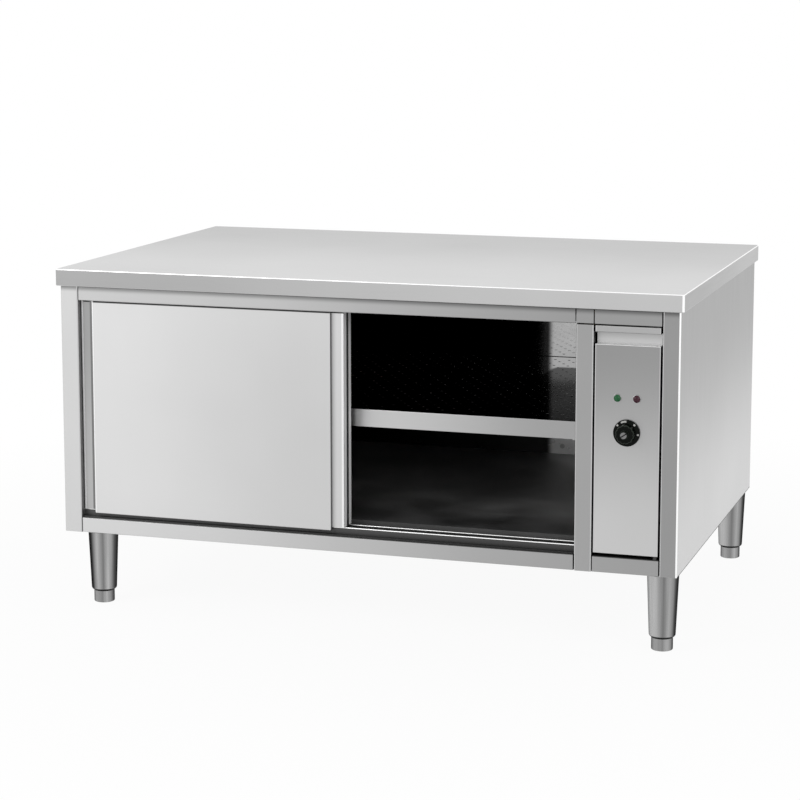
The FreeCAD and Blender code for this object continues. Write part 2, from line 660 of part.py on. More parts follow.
track_section = (
    [(f"{FRONT_DOOR} + {WEB}", UNDERLAY_BOTTOM), (f"{REAR_DOOR} + {WEB} + sheet", UNDERLAY_BOTTOM)]
    + ledge_outline(REAR_DOOR)[1:] + [(f"{REAR_DOOR} + {WEB}", f"{UNDERLAY_BOTTOM} - sheet")]
    + ledge_outline(FRONT_DOOR))
sub_part("door_track", side_section("door_track", track_section, DOORS_LEFT, DOORS_RIGHT))

# Sliding doors: a hollow leaf with a raised front, a back sheet and a core, hung on two rollers
LEAF_BOTTOM = f"({RIB_TOP} + rib_gap)"


def folded_front(name, low, high):
    """A box whose two upright front edges are bends."""
    plan = [(low[0], low[1]), (high[0], low[1]), (high[0], high[1]), (low[0], high[1])]
    piece, front = plan_section(name, plan, low[2], high[2])
    rounded(piece, f"{name}_bends", front, "bend_radius", upright_front)
    return piece


def sliding_door(name, face, left):
    """A hollow leaf with a raised front that leaves a finger strip down each side, and its hangers."""
    right = f"({left} + door_width)"
    back = f"({face} + door_thickness)"
    strip = f"({face} + strip_step)"
    panel_left = f"({left} + strip_width)"
    panel_right = f"({right} - strip_width)"
    head = f"({DOOR_TOP} - liner_sheet)"
    floor = f"({LEAF_BOTTOM} + liner_sheet)"
    solid = joined(f"{name}_form", [
        folded_front(f"{name}_leaf", (left, strip, LEAF_BOTTOM), (right, back, DOOR_TOP)),
        folded_front(f"{name}_raised", (panel_left, face, DOOR_BOTTOM),
                     (panel_right, f"{strip} + liner_sheet", DOOR_TOP)),
    ])
    raised_low = (f"{panel_left} + liner_sheet", f"{face} + liner_sheet")
    raised_high = (f"{panel_right} - liner_sheet", f"{strip} + liner_sheet")
    hollows = [
        block(f"{name}_leaf_hollow", (f"{left} + liner_sheet", f"{strip} + liner_sheet", floor),
              (f"{right} - liner_sheet", back, head)),
        block(f"{name}_raised_hollow", (*raised_low, floor), (*raised_high, head)),
        block(f"{name}_hem_hollow", (*raised_low, f"{DOOR_BOTTOM} + liner_sheet"),
              (raised_high[0], strip, floor)),
    ]
    sub_part(f"{name}_skin", cut(f"{name}_skin", solid, hollows))
    sub_part(f"{name}_liner", block(
        f"{name}_back_sheet", (f"{left} + liner_sheet", f"{back} - liner_sheet", floor),
        (f"{right} - liner_sheet", back, head)))
    sub_part(f"{name}_core", joined(f"{name}_core", [
        block(f"{name}_leaf_board", (f"{left} + liner_sheet", f"{strip} + liner_sheet", floor),
              (f"{right} - liner_sheet", f"{back} - liner_sheet", head)),
        block(f"{name}_raised_board", (*raised_low, floor), (*raised_high, head)),
    ]))
    hangers = []
    for side, middle in (("left", f"({left} + hanger_inset)"), ("right", f"({right} - hanger_inset)")):
        tag = f"{name}_{side}"
        ends = (f"{middle} - hanger_width / 2", f"{middle} + hanger_width / 2")
        foot = block(f"{tag}_foot", (ends[0], f"{face} + hanger_foot_setback", DOOR_TOP),
                     (ends[1], f"{back} - hanger_foot_setback", f"{DOOR_TOP} + hanger_plate"))
        upright = block(f"{tag}_upright", (ends[0], f"{face} + hanger_setback", DOOR_TOP),
                        (ends[1], f"{face} + hanger_setback + hanger_plate", f"{AXLE} + 2 * axle_radius"))
        axle = rod(f"{tag}_axle", "axle_radius", f"{ROLLER_BACK} + roller_gap - hanger_setback",
                   (middle, f"{face} + hanger_setback", AXLE), ALONG_Y)
        head = hexagon(f"{tag}_head", "axle_head_radius", "axle_head",
                       (middle, f"{face} + {ROLLER_BACK} + roller_gap", AXLE), ALONG_Y)
        hangers.append(joined(f"{tag}_hanger", [foot, upright, axle, head]))
        roller = body(f"{tag}_roller", (middle, f"{face} + {ROLLER_FRONT}", AXLE))
        profile = outline(roller, f"{tag}_profile", "XY_Plane", [
            ("axle_radius + running_fit", "0"),
            ("roller_radius", "0"),
            ("roller_radius", "roller_width"),
            ("axle_radius + running_fit", "roller_width"),
        ])
        turned(roller, f"{tag}_turned", profile, "V_Axis")
        sub_part(f"{name}_roller_{side}", roller)
    sub_part(f"{name}_hangers", group(f"{name}_hangers", hangers))


DOOR_REST = f"({DOORS_LEFT} + door_side_gap)"
sliding_door("door_front", FRONT_DOOR, DOOR_REST)
sliding_door("door_rear", REAR_DOOR, DOOR_REST)

# Shelf: a folded tray standing on two angle rails fixed to the chamber's walls
sub_part("shelf", tray(
    "shelf", (f"{DOORS_LEFT} + shelf_gap", f"{FRAME_BACK} + shelf_setback", SHELF_BOTTOM),
    (f"{DOORS_RIGHT} - shelf_gap", f"{CHAMBER_BACK} - shelf_back_gap", SHELF_TOP), "liner_sheet", "-z"))
angle_rails = []
for side, wall, sign in (("left", DOORS_LEFT, "+"), ("right", DOORS_RIGHT, "-")):
    rail = body(f"shelf_rail_{side}", ("0", f"{FRAME_BACK} + shelf_setback", "0"))
    rail_corners = [
        (wall, f"{SHELF_BOTTOM} - shelf_rail_width"),
        (f"{wall} {sign} sheet", f"{SHELF_BOTTOM} - shelf_rail_width"),
        (f"{wall} {sign} sheet", f"{SHELF_BOTTOM} - sheet"),
        (f"{wall} {sign} shelf_rail_width", f"{SHELF_BOTTOM} - sheet"),
        (f"{wall} {sign} shelf_rail_width", SHELF_BOTTOM),
        (wall, SHELF_BOTTOM),
    ]
    rail_sketch = outline(rail, f"shelf_rail_{side}_section", "XZ_Plane", rail_corners)
    pad(rail, f"shelf_rail_{side}_pad", rail_sketch,
        f"{CHAMBER_BACK} - shelf_back_gap - ({FRAME_BACK} + shelf_setback)", True)
    angle_rails.append(rail)
sub_part("shelf_rails", group("shelf_rails", angle_rails))

# Control panel: folded sheet with a finger pull across its top, hinged on two pins at its right
panel_section = [
    (f"{FRONT} + panel_depth", PANEL_BOTTOM),
    (FRONT, PANEL_BOTTOM),
    (FRONT, PULL_BOTTOM),
    (f"{FRONT} + pull_depth", PULL_BOTTOM),
    (f"{FRONT} + pull_depth", PULL_TOP),
    (FRONT, PULL_TOP),
    (FRONT, PANEL_TOP),
    (f"{FRONT} + panel_depth", PANEL_TOP),
    (f"{FRONT} + panel_depth", f"{PANEL_TOP} - liner_sheet"),
    (f"{FRONT} + liner_sheet", f"{PANEL_TOP} - liner_sheet"),
    (f"{FRONT} + liner_sheet", f"{PULL_TOP} + liner_sheet"),
    (f"{FRONT} + pull_depth + liner_sheet", f"{PULL_TOP} + liner_sheet"),
    (f"{FRONT} + pull_depth + liner_sheet", f"{PULL_BOTTOM} - liner_sheet"),
    (f"{FRONT} + liner_sheet", f"{PULL_BOTTOM} - liner_sheet"),
    (f"{FRONT} + liner_sheet", f"{PANEL_BOTTOM} + liner_sheet"),
    (f"{FRONT} + panel_depth", f"{PANEL_BOTTOM} + liner_sheet"),
]
panel_face = side_section("panel_face", panel_section, PANEL_LEFT, PANEL_RIGHT)
panel_edges = [
    block("panel_edge_left", (PANEL_LEFT, FRONT, PANEL_BOTTOM),
          (f"{PANEL_LEFT} + liner_sheet", f"{FRONT} + panel_depth", PULL_BOTTOM)),
    block("panel_edge_right", (f"{PANEL_RIGHT} - liner_sheet", FRONT, PANEL_BOTTOM),
          (PANEL_RIGHT, f"{FRONT} + panel_depth", PULL_BOTTOM)),
]
LAMP_PLACES = {"green": f"({BAY_MIDDLE} - lamp_spacing / 2)", "red": f"({BAY_MIDDLE} + lamp_spacing / 2)"}
PIVOT_X = f"({PANEL_RIGHT} - pivot_inset)"
PIVOT_Y = f"({FRONT} + pivot_inset)"
panel_holes = [
    rod("panel_lower_pivot", "pin_radius + running_fit", "2 * liner_sheet",
        (PIVOT_X, PIVOT_Y, f"{PANEL_BOTTOM} - liner_sheet / 2")),
    rod("panel_upper_pivot", "pin_radius + running_fit", "2 * liner_sheet",
        (PIVOT_X, PIVOT_Y, f"{PANEL_TOP} - 3 * liner_sheet / 2")),
    rod("panel_spindle_hole", "spindle_radius + knob_gap", "2 * liner_sheet",
        (BAY_MIDDLE, f"{FRONT} - liner_sheet / 2", KNOB_Z), ALONG_Y),
] + [
    rod(f"panel_{colour}_hole", "lamp_body_radius", "2 * liner_sheet",
        (lamp_x, f"{FRONT} - liner_sheet / 2", LAMP_Z), ALONG_Y)
    for colour, lamp_x in LAMP_PLACES.items()
]
sub_part("control_panel", cut("control_panel", joined("panel", [panel_face] + panel_edges), panel_holes))

# Hinge pins: each is a collar against the rail and a pin into the panel's folded edge
lower_pin = joined("lower_pin", [
    rod("lower_collar", "pin_collar", "panel_bottom_gap - pin_gap", (PIVOT_X, PIVOT_Y, SILL)),
    rod("lower_stud", "pin_radius", "panel_bottom_gap + pin_length", (PIVOT_X, PIVOT_Y, SILL)),
])
upper_pin = joined("upper_pin", [
    rod("upper_collar", "pin_collar", "panel_top_gap - pin_gap",
        (PIVOT_X, PIVOT_Y, f"{HEAD} - panel_top_gap + pin_gap")),
    rod("upper_stud", "pin_radius", "panel_top_gap + pin_length",
        (PIVOT_X, PIVOT_Y, f"{HEAD} - panel_top_gap - pin_length")),
])
sub_part("hinge_pins", group("hinge_pins", [lower_pin, upper_pin]))

# Lamps: a bezel and its body through the panel, with a domed lens in front
LENS_SEAT = "-bezel_rise / 3"
bezels = []
for colour, lamp_x in LAMP_PLACES.items():
    bezel = body(f"bezel_{colour}", (lamp_x, FRONT, LAMP_Z))
    bezel_profile = outline(bezel, f"bezel_{colour}_profile", "XY_Plane", [
        ("0", LENS_SEAT),
        ("0", "lamp_body"),
        ("lamp_body_radius", "lamp_body"),
        ("lamp_body_radius", "0"),
        ("lamp_radius", "0"),
        ("lens_radius + bezel_rise / 2", "-bezel_rise"),
        ("lens_radius", "-bezel_rise"),
        ("lens_radius", LENS_SEAT),
    ])
    turned(bezel, f"bezel_{colour}_turned", bezel_profile, "V_Axis")
    bezels.append(bezel)
    lens = body(f"lens_{colour}", (lamp_x, FRONT, LAMP_Z))
    lens_profile = outline(lens, f"lens_{colour}_profile", "XY_Plane", [
        ("0", LENS_SEAT),
        ("lens_radius", LENS_SEAT),
        ("lens_radius", "-bezel_rise - lens_rise / 3"),
        ("lens_radius / 2", "-bezel_rise - lens_rise"),
        ("0", "-bezel_rise - lens_rise"),
    ])
    turned(lens, f"lens_{colour}_turned", lens_profile, "V_Axis")
    sub_part(f"lens_{colour}", lens)
sub_part("lamp_bezels", group("lamp_bezels", bezels))

# Thermostat on the back of the panel, its knob with a spindle, and its bulb in the chamber
THERMOSTAT_FRONT = f"({FRONT} + liner_sheet)"
thermostat_box = block(
    "thermostat_box", (f"{BAY_MIDDLE} - thermostat_width / 2", THERMOSTAT_FRONT,
                       f"{KNOB_Z} - thermostat_width / 2"),
    (f"{BAY_MIDDLE} + thermostat_width / 2", f"{THERMOSTAT_FRONT} + thermostat_depth",
     f"{KNOB_Z} + thermostat_width / 2"))
thermostat_bore = rod("thermostat_bore", "spindle_radius + running_fit", "thermostat_depth / 2",
                      (BAY_MIDDLE, THERMOSTAT_FRONT, KNOB_Z), ALONG_Y)
sub_part("thermostat", cut("thermostat", thermostat_box, [thermostat_bore]))

knob = body("thermostat_knob", (BAY_MIDDLE, FRONT, KNOB_Z))
knob_profile = outline(knob, "knob_profile", "XY_Plane", [
    ("0", "liner_sheet + thermostat_depth / 2 - knob_gap"),
    ("spindle_radius", "liner_sheet + thermostat_depth / 2 - knob_gap"),
    ("spindle_radius", "-knob_gap"),
    ("knob_radius", "-knob_gap"),
    ("knob_radius", "-knob_gap - skirt_rim / 2"),
    ("grip_radius + grip_groove", "-knob_gap - skirt_rim"),
    ("grip_radius", "-knob_gap - skirt_rim"),
    ("grip_radius", "-grip_reach"),
    ("hub_radius", "-grip_reach"),
    ("hub_radius", "-knob_reach + bend_radius / 2"),
    ("cap_radius", "-knob_reach"),
    ("0", "-knob_reach"),
])
turned(knob, "knob_turned", knob_profile, "V_Axis")
flutes = [
    rod(f"knob_flute_{count}", "grip_groove", "knob_reach",
        (f"{BAY_MIDDLE} + (grip_radius + grip_groove / 2) * cos({count} * 360 / grip_flutes)",
         f"{FRONT} - knob_gap - skirt_rim - knob_reach",
         f"{KNOB_Z} + (grip_radius + grip_groove / 2) * sin({count} * 360 / grip_flutes)"), ALONG_Y)
    for count in range(int(dims.grip_flutes))
]
sub_part("thermostat_knob", cut("thermostat_knob", knob, flutes))

BULB_Z = f"(({SHELF_TOP} + {CEILING}) / 2)"
bulb = rod("bulb_rod", "bulb_radius", "bulb_length",
           (f"{DOORS_RIGHT} - bulb_clip", f"{CHAMBER_BACK} - bulb_length - bulb_setback", BULB_Z), ALONG_Y)
CLIP_BACK = f"({CHAMBER_BACK} - bulb_setback - bulb_length / 2)"
bulb_clip = block("bulb_clip_block",
                  (f"{DOORS_RIGHT} - bulb_clip", f"{CLIP_BACK} - bulb_clip", f"{BULB_Z} - bulb_clip"),
                  (DOORS_RIGHT, CLIP_BACK, f"{BULB_Z} + bulb_clip"))
sub_part("thermostat_bulb", joined("thermostat_bulb", [bulb, bulb_clip]))

# Hot air unit on the chamber's right wall: motor in the bay, impeller and heater under a cover
motor = joined("motor", [
    rod("motor_flange_disc", "motor_flange", "motor_plate", (MOTOR_SEAT, "0", FAN_Z), ALONG_X),
    rod("motor_can", "motor_radius", "motor_length", (MOTOR_SEAT, "0", FAN_Z), ALONG_X),
    rod("motor_shaft", "shaft_radius", f"{MOTOR_SEAT} - ({DOORS_RIGHT} - shaft_reach)",
        (f"{DOORS_RIGHT} - shaft_reach", "0", FAN_Z), ALONG_X),
])
sub_part("fan_motor", motor)

impeller = body("fan_impeller", (f"{DOORS_RIGHT} - impeller_wall_gap - impeller_width", "0", FAN_Z))
disc_profile = outline(impeller, "disc_profile", "XZ_Plane", [
    ("0", "shaft_radius + running_fit"),
    ("0", "impeller_hub"),
    ("impeller_width - blade_sheet", "impeller_hub"),
    ("impeller_width - blade_sheet", "impeller_radius"),
    ("impeller_width", "impeller_radius"),
    ("impeller_width", "shaft_radius + running_fit"),
])
turned(impeller, "disc_turned", disc_profile, "H_Axis")
blade_sketch = outline(impeller, "blade_section", "YZ_Plane", [
    ("0", "blade_root"),
    ("blade_sheet", "blade_root"),
    ("blade_sheet + blade_lean / 3", "(blade_root + impeller_radius) / 2"),
    ("blade_sheet + blade_lean", "impeller_radius - blade_sheet"),
    ("blade_lean", "impeller_radius - blade_sheet"),
    ("blade_lean / 3", "(blade_root + impeller_radius) / 2"),
])
first_blade = pad(impeller, "first_blade", blade_sketch, "impeller_width")
doc.recompute()
blades = impeller.newObject("PartDesign::PolarPattern", "blades")
blades.Originals = [first_blade]
blades.Axis = (blade_sketch, ["N_Axis"])
blades.Angle = 360
blades.setExpression("Occurrences", "dims.blade_count")
impeller.Tip = blades
sub_part("fan_impeller", impeller)

HEATER_X = f"({DOORS_RIGHT} - heater_wall_gap)"
heater_loop = body("heater_loop", (HEATER_X, "0", FAN_Z))
heater_profile = outline(heater_loop, "heater_profile", "XZ_Plane", [
    ("heater_tube", "heater_radius"),
    ("heater_tube / 2", "heater_radius + heater_tube * sin(60)"),
    ("-heater_tube / 2", "heater_radius + heater_tube * sin(60)"),
    ("-heater_tube", "heater_radius"),
    ("-heater_tube / 2", "heater_radius - heater_tube * sin(60)"),
    ("heater_tube / 2", "heater_radius - heater_tube * sin(60)"),
])
turned(heater_loop, "heater_turned", heater_profile, "H_Axis")
tails = [
    rod(f"heater_tail_{side}", "heater_tube", "heater_wall_gap + heater_tail",
        (HEATER_X, f"{sign}heater_tails_apart / 2", f"{FAN_Z} - heater_radius"), ALONG_X)
    for side, sign in (("front", "-"), ("back", ""))
]
sub_part("heater_ring", joined("heater_ring", [heater_loop] + tails))

COVER_FACE = f"({DOORS_RIGHT} - cover_depth)"
cover_shell = tray("fan_cover", (COVER_FACE, "-cover_width / 2", f"{FAN_Z} - {COVER_HALF}"),
                   (DOORS_RIGHT, "cover_width / 2", f"{FAN_Z} + {COVER_HALF}"), "liner_sheet", "+x")
intake = rod("intake_disc", "intake_radius", "2 * liner_sheet",
             (f"{COVER_FACE} - liner_sheet / 2", "0", FAN_Z), ALONG_X)
bars = [
    block(f"intake_bar_{count}",
          (f"{COVER_FACE} - liner_sheet", "-intake_radius",
           f"{FAN_Z} + ({count} - (intake_bars - 1) / 2) * intake_pitch - intake_bar / 2"),
          (f"{COVER_FACE} + 2 * liner_sheet", "intake_radius",
           f"{FAN_Z} + ({count} - (intake_bars - 1) / 2) * intake_pitch + intake_bar / 2"))
    for count in range(int(dims.intake_bars))
]
slots = []
for side, sign in (("front", "-1"), ("back", "1")):
    for count in range(int(dims.outlet_count)):
        middle = f"{sign} * (cover_width / 2 - outlet_inset - {count} * outlet_pitch)"
        slots.append(block(f"outlet_{side}_{count}",
                           (f"{COVER_FACE} - liner_sheet", f"{middle} - outlet_width / 2",
                            f"{FAN_Z} - outlet_height / 2"),
                           (f"{COVER_FACE} + 2 * liner_sheet", f"{middle} + outlet_width / 2",
                            f"{FAN_Z} + outlet_height / 2")))
sub_part("fan_cover", cut("fan_cover", cover_shell, [cut("intake", intake, bars)] + slots))

# Terminal block on the bottom panel, below the cable gland
BLOCK_Y = f"({BACK_PANEL_INNER} - block_setback)"
BLOCK_Z = f"({BOTTOM} + sheet)"
block_slots = [
    block(f"terminal_slot_{count}",
          (f"{BAY_MIDDLE} + ({count} - (block_count - 1) / 2) * block_pitch - block_slot / 2",
           f"{BLOCK_Y} - block_width", f"{BLOCK_Z} + block_height - block_slot_depth"),
          (f"{BAY_MIDDLE} + ({count} - (block_count - 1) / 2) * block_pitch + block_slot / 2",
           BLOCK_Y, f"{BLOCK_Z} + block_height"))
    for count in range(int(dims.block_count))
]
terminal_body = block("terminal_body",
                      (f"{BAY_MIDDLE} - block_length / 2", f"{BLOCK_Y} - block_width", BLOCK_Z),
                      (f"{BAY_MIDDLE} + block_length / 2", BLOCK_Y, f"{BLOCK_Z} + block_height"))
sub_part("terminal_block", cut("terminal_block", terminal_body, block_slots))

# Cable gland through the back panel; it stands out as far as the knob does at the front
gland_solid = joined("gland", [
    rod("gland_thread_rod", "gland_thread", "gland_tail + gland_nut",
        (GLAND_X, f"{BACK} - sheet - gland_tail", "gland_height"), ALONG_Y),
    hexagon("gland_lock_nut", "gland_radius", "gland_nut",
            (GLAND_X, f"{BACK} - 2 * sheet - gland_nut", "gland_height"), ALONG_Y),
    hexagon("gland_flange_nut", "gland_radius", "gland_nut",
            (GLAND_X, f"{BACK} - sheet", "gland_height"), ALONG_Y),
    rod("gland_cap", "gland_radius - sheet", "knob_reach + sheet",
        (GLAND_X, f"{BACK} - sheet", "gland_height"), ALONG_Y),
])
gland_passage = rod("gland_passage", "gland_bore", "gland_tail + knob_reach + sheet",
                    (GLAND_X, f"{BACK} - sheet - gland_tail", "gland_height"), ALONG_Y)
sub_part("cable_gland", cut("cable_gland", gland_solid, [gland_passage]))

# Legs: a flange and a tapered tube with a rounded lower end and a bush for the foot's stem.
# The four are one sub-part, all fixed to the cabinet; each foot moves and is a sub-part of its own
LEG_X = {"left": "(left_leg_inset - table_width / 2)", "right": "(table_width / 2 - right_leg_inset)"}
LEG_Y = {"front": "(leg_setback - table_depth / 2)", "back": "(table_depth / 2 - leg_setback)"}
LEG_FOOT = "(foot_height + foot_gap)"
legs = []
for side, leg_x in LEG_X.items():
    for end, leg_y in LEG_Y.items():
        tag = f"{end}_{side}"
        leg = body(f"leg_{tag}", (leg_x, leg_y, "0"))
        leg_profile = outline(leg, f"leg_{tag}_profile", "XZ_Plane", [
            ("stem_radius + running_fit", LEG_FOOT),
            ("leg_low_radius - leg_round", LEG_FOOT),
            ("leg_low_radius - leg_round / 3", f"{LEG_FOOT} + leg_round / 3"),
            ("leg_low_radius", f"{LEG_FOOT} + leg_round"),
            ("leg_top_radius", f"{BOTTOM} - leg_plate"),
            ("leg_flange", f"{BOTTOM} - leg_plate"),
            ("leg_flange", BOTTOM),
            ("leg_top_radius - leg_wall", BOTTOM),
            ("leg_low_radius - leg_wall", f"{LEG_FOOT} + bush_length"),
            ("stem_radius + running_fit", f"{LEG_FOOT} + bush_length"),
        ])
        turned(leg, f"leg_{tag}_turned", leg_profile, "V_Axis")
        legs.append(leg)
        foot = body(f"foot_{tag}", (leg_x, leg_y, "0"))
        foot_profile = outline(foot, f"foot_{tag}_profile", "XZ_Plane", [
            ("0", "0"),
            ("foot_radius - foot_round", "0"),
            ("foot_radius", "foot_round"),
            ("foot_radius", "foot_height"),
            ("stem_radius", "foot_height"),
            ("stem_radius", "foot_height + stem_length"),
            ("0", "foot_height + stem_length"),
        ])
        turned(foot, f"foot_{tag}_turned", foot_profile, "V_Axis")
        sub_part(f"foot_{tag}", foot)
sub_part("legs", group("legs", legs))

doc.recompute()
for item in doc.Objects:
    assert not {"Invalid", "Error"} & set(item.State), f"{item.Name} did not recompute: {item.State}"
for name, piece in parts.items():
    assert not piece.Shape.isNull() and piece.Shape.isValid(), f"{name} has no valid shape"

os.makedirs("parts", exist_ok=True)
for name, piece in parts.items():
    piece.Shape.exportStep(f"parts/{name}.step")
print(f"{len(parts)} parts written")
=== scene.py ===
import math

import bmesh
import bpy
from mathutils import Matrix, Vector


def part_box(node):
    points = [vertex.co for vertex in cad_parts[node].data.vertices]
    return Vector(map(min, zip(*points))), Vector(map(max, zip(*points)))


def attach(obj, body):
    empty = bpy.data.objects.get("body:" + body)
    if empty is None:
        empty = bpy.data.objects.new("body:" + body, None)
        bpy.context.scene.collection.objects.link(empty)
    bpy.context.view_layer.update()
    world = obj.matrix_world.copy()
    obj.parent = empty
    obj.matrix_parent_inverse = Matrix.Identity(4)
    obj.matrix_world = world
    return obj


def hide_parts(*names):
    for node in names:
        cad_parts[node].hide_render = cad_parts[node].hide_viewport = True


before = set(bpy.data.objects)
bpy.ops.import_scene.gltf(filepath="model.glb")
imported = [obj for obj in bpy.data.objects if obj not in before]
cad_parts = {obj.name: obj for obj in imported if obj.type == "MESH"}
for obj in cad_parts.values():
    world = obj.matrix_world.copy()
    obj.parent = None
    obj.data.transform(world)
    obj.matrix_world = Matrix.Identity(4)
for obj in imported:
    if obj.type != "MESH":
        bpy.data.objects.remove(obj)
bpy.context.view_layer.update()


# Legs: four tapered tubes of stainless steel, rolled from sheet with the lower end drawn in round,
# each welded to a round flange that is screwed up under the cabinet. Polished along the tube, with
# painted reflections in bright and dark bands along each tube.
def fill(node, values):
    """Set a node's inputs, or link them to the outputs that they are given."""
    for label, value in values.items():
        if isinstance(value, bpy.types.NodeSocket):
            node.id_data.links.new(value, node.inputs[label])
        else:
            node.inputs[label].default_value = value


def added(tree, kind, values, output=0, operation=None):
    """Add a node with its inputs filled, and return one of its outputs."""
    node = tree.nodes.new(kind)
    if operation:
        node.operation = operation
    fill(node, values)
    return node.outputs[output]


def treat(finish, values):
    """Fill the inputs of a material's shader."""
    fill(finish.node_tree.nodes["Principled BSDF"], values)


def plain_finish(name, colour, roughness, metallic):
    """A new material with its even values set on the shader, ready for its pattern."""
    finish = bpy.data.materials.new(name)
    finish.use_nodes = True
    treat(finish, {"Base Color": (*colour, 1), "Roughness": roughness, "Metallic": metallic})
    return finish


def noise(finish, scale, detail):
    """Noise on the piece's own coordinates, stretched by a scale for each axis."""
    tree = finish.node_tree
    where = added(tree, "ShaderNodeTexCoord", {}, "Object")
    stretched = added(tree, "ShaderNodeMapping", {"Vector": where, "Scale": scale})
    return added(tree, "ShaderNodeTexNoise", {"Vector": stretched, "Scale": 1, "Detail": detail}, "Fac")


def mapped(finish, value, start, end, first, last):
    """A number that goes from first to last as a value goes from start to end."""
    return added(finish.node_tree, "ShaderNodeMapRange", {
        "Value": value, "From Min": start, "From Max": end, "To Min": first, "To Max": last})


LOW_NOISE = 0.3
HIGH_NOISE = 0.7


def between(finish, value, low, high):
    """A pattern's middle range as numbers from low to high."""
    return mapped(finish, value, LOW_NOISE, HIGH_NOISE, low, high)


def drift(finish, axis, start, end, first, last):
    """A number that runs smoothly from first to last between two places along an axis."""
    where = added(finish.node_tree, "ShaderNodeTexCoord", {}, "Object")
    along = added(finish.node_tree, "ShaderNodeSeparateXYZ", {"Vector": where}, axis.upper())
    slope = mapped(finish, along, start, end, first, last)
    slope.node.interpolation_type = "SMOOTHERSTEP"
    return slope


def product(finish, first, second):
    """Two numbers multiplied."""
    return added(finish.node_tree, "ShaderNodeMath", {0: first, 1: second}, operation="MULTIPLY")


def ramped(finish, value, stops):
    """A colour that a number from 0 to 1 picks from (place, colour) stops."""
    colour = added(finish.node_tree, "ShaderNodeValToRGB", {"Fac": value})
    elements = colour.node.color_ramp.elements
    for element, (place, shown) in zip(elements, (stops[0], stops[-1])):
        element.position = place
        element.color = (*shown, 1)
    for place, shown in stops[1:-1]:
        elements.new(place).color = (*shown, 1)
    return colour


def tinted(finish, value, first, second):
    """Let a pattern pick between two colours."""
    treat(finish, {"Base Color": ramped(finish, value, [(LOW_NOISE, first), (HIGH_NOISE, second)])})


def glossed(finish, value, low, high):
    """Let a pattern set the roughness."""
    treat(finish, {"Roughness": between(finish, value, low, high)})


GRAIN_DEPTH = 0.0002


def grained(finish, value, strength):
    """Turn a pattern into a fine relief."""
    treat(finish, {"Normal": added(finish.node_tree, "ShaderNodeBump", {
        "Height": value, "Strength": strength, "Distance": GRAIN_DEPTH})})


def toned(finish, tone, cloud, run, shade):
    """A clouded tone. A run (axis, start, end, last tone) lets it drift along the piece, and a
    shade (axis, start, end, share) darkens it towards one edge. Both are painted light and shade."""
    axis, start, end, last = run or ("x", -1, 1, tone)
    uneven = product(finish, drift(finish, axis, start, end, tone, last), cloud)
    if shade:
        axis, start, end, share = shade
        uneven = product(finish, uneven, drift(finish, axis, start, end, 1, share))
    treat(finish, {"Base Color": uneven})


GRAIN_ALONG = 6
GRAIN_ACROSS = 1400


def brushed(name, tone, roughness, along, run=None, shade=None):
    """Stainless steel with its grain along one axis, a little uneven in tone and gloss."""
    finish = plain_finish(name, [tone] * 3, roughness, 1)
    grain = noise(finish, [GRAIN_ALONG if axis == along else GRAIN_ACROSS for axis in "xyz"], 3)
    grained(finish, grain, 0.05)
    glossed(finish, grain, roughness - 0.05, roughness + 0.05)
    cloud = between(finish, noise(finish, (2.5, 2.5, 2.5), 2), 0.97, 1.03)
    toned(finish, tone, cloud, run, shade)
    return finish


def faced(piece, finish, wanted):
    """Give another finish to the faces of a piece that a test on their normals and middles picks."""
    piece.data.materials.append(finish)
    for polygon in piece.data.polygons:
        if wanted(polygon.normal, polygon.center):
            polygon.material_index = len(piece.data.materials) - 1


BEND_STEPS = 5
SHARP = math.radians(35)


def bent(corners):
    """Points along (across, along, radius) corners, with an arc wherever a radius is given."""
    line = []
    for index, corner in enumerate(corners):
        here = Vector(corner[:2])
        radius = corner[2]
        if radius == 0:
            line.append(here)
            continue
        before = (Vector(corners[index - 1][:2]) - here).normalized()
        after = (Vector(corners[(index + 1) % len(corners)][:2]) - here).normalized()
        half = before.angle(after) / 2
        centre = here + (before + after).normalized() * radius / math.sin(half)
        start = here + before * radius / math.tan(half) - centre
        end = here + after * radius / math.tan(half) - centre
        turn = start.angle(end)
        for step in range(BEND_STEPS + 1):
            share = step / BEND_STEPS
            spoke = start * math.sin((1 - share) * turn) + end * math.sin(share * turn)
            line.append(centre + spoke / math.sin(turn))
    return line


def turned(form, corners, middle, axis, steps, flutes=0, depth=0):
    """Turn a closed (radius, along, bend) profile round y or z; flutes cut into the wider rings."""
    rings = []
    for radius, along in bent(corners):
        ring = []
        for step in range(steps):
            angle = math.tau * step / steps
            reach = radius
            if flutes and radius > depth:
                reach -= depth * max(math.cos(flutes * angle), 0) ** 2
            wide = reach * math.cos(angle)
            tall = reach * math.sin(angle)
            offset = (wide, along, tall) if axis == "y" else (wide, tall, along)
            ring.append(form.verts.new(Vector(middle) + Vector(offset)))
        rings.append(ring)
    for index, ring in enumerate(rings):
        for step in range(steps):
            form.faces.new((rings[index - 1][step - 1], rings[index - 1][step], ring[step], ring[step - 1]))


WELD = 0.00001


def placed(form, name):
    """Close up a mesh and put it in the scene as an object."""
    bmesh.ops.remove_doubles(form, verts=form.verts, dist=WELD)
    bmesh.ops.recalc_face_normals(form, faces=form.faces)
    for face in form.faces:
        face.smooth = True
    for edge in form.edges:
        edge.smooth = len(edge.link_faces) == 2 and edge.calc_face_angle() < SHARP
    mesh = bpy.data.meshes.new(name)
    form.to_mesh(mesh)
    form.free()
    piece = bpy.data.objects.new(name, mesh)
    bpy.context.scene.collection.objects.link(piece)
    return piece


def worked_out(piece):
    """An object's mesh with its modifiers carried out."""
    return bpy.data.meshes.new_from_object(piece.evaluated_get(bpy.context.evaluated_depsgraph_get()))


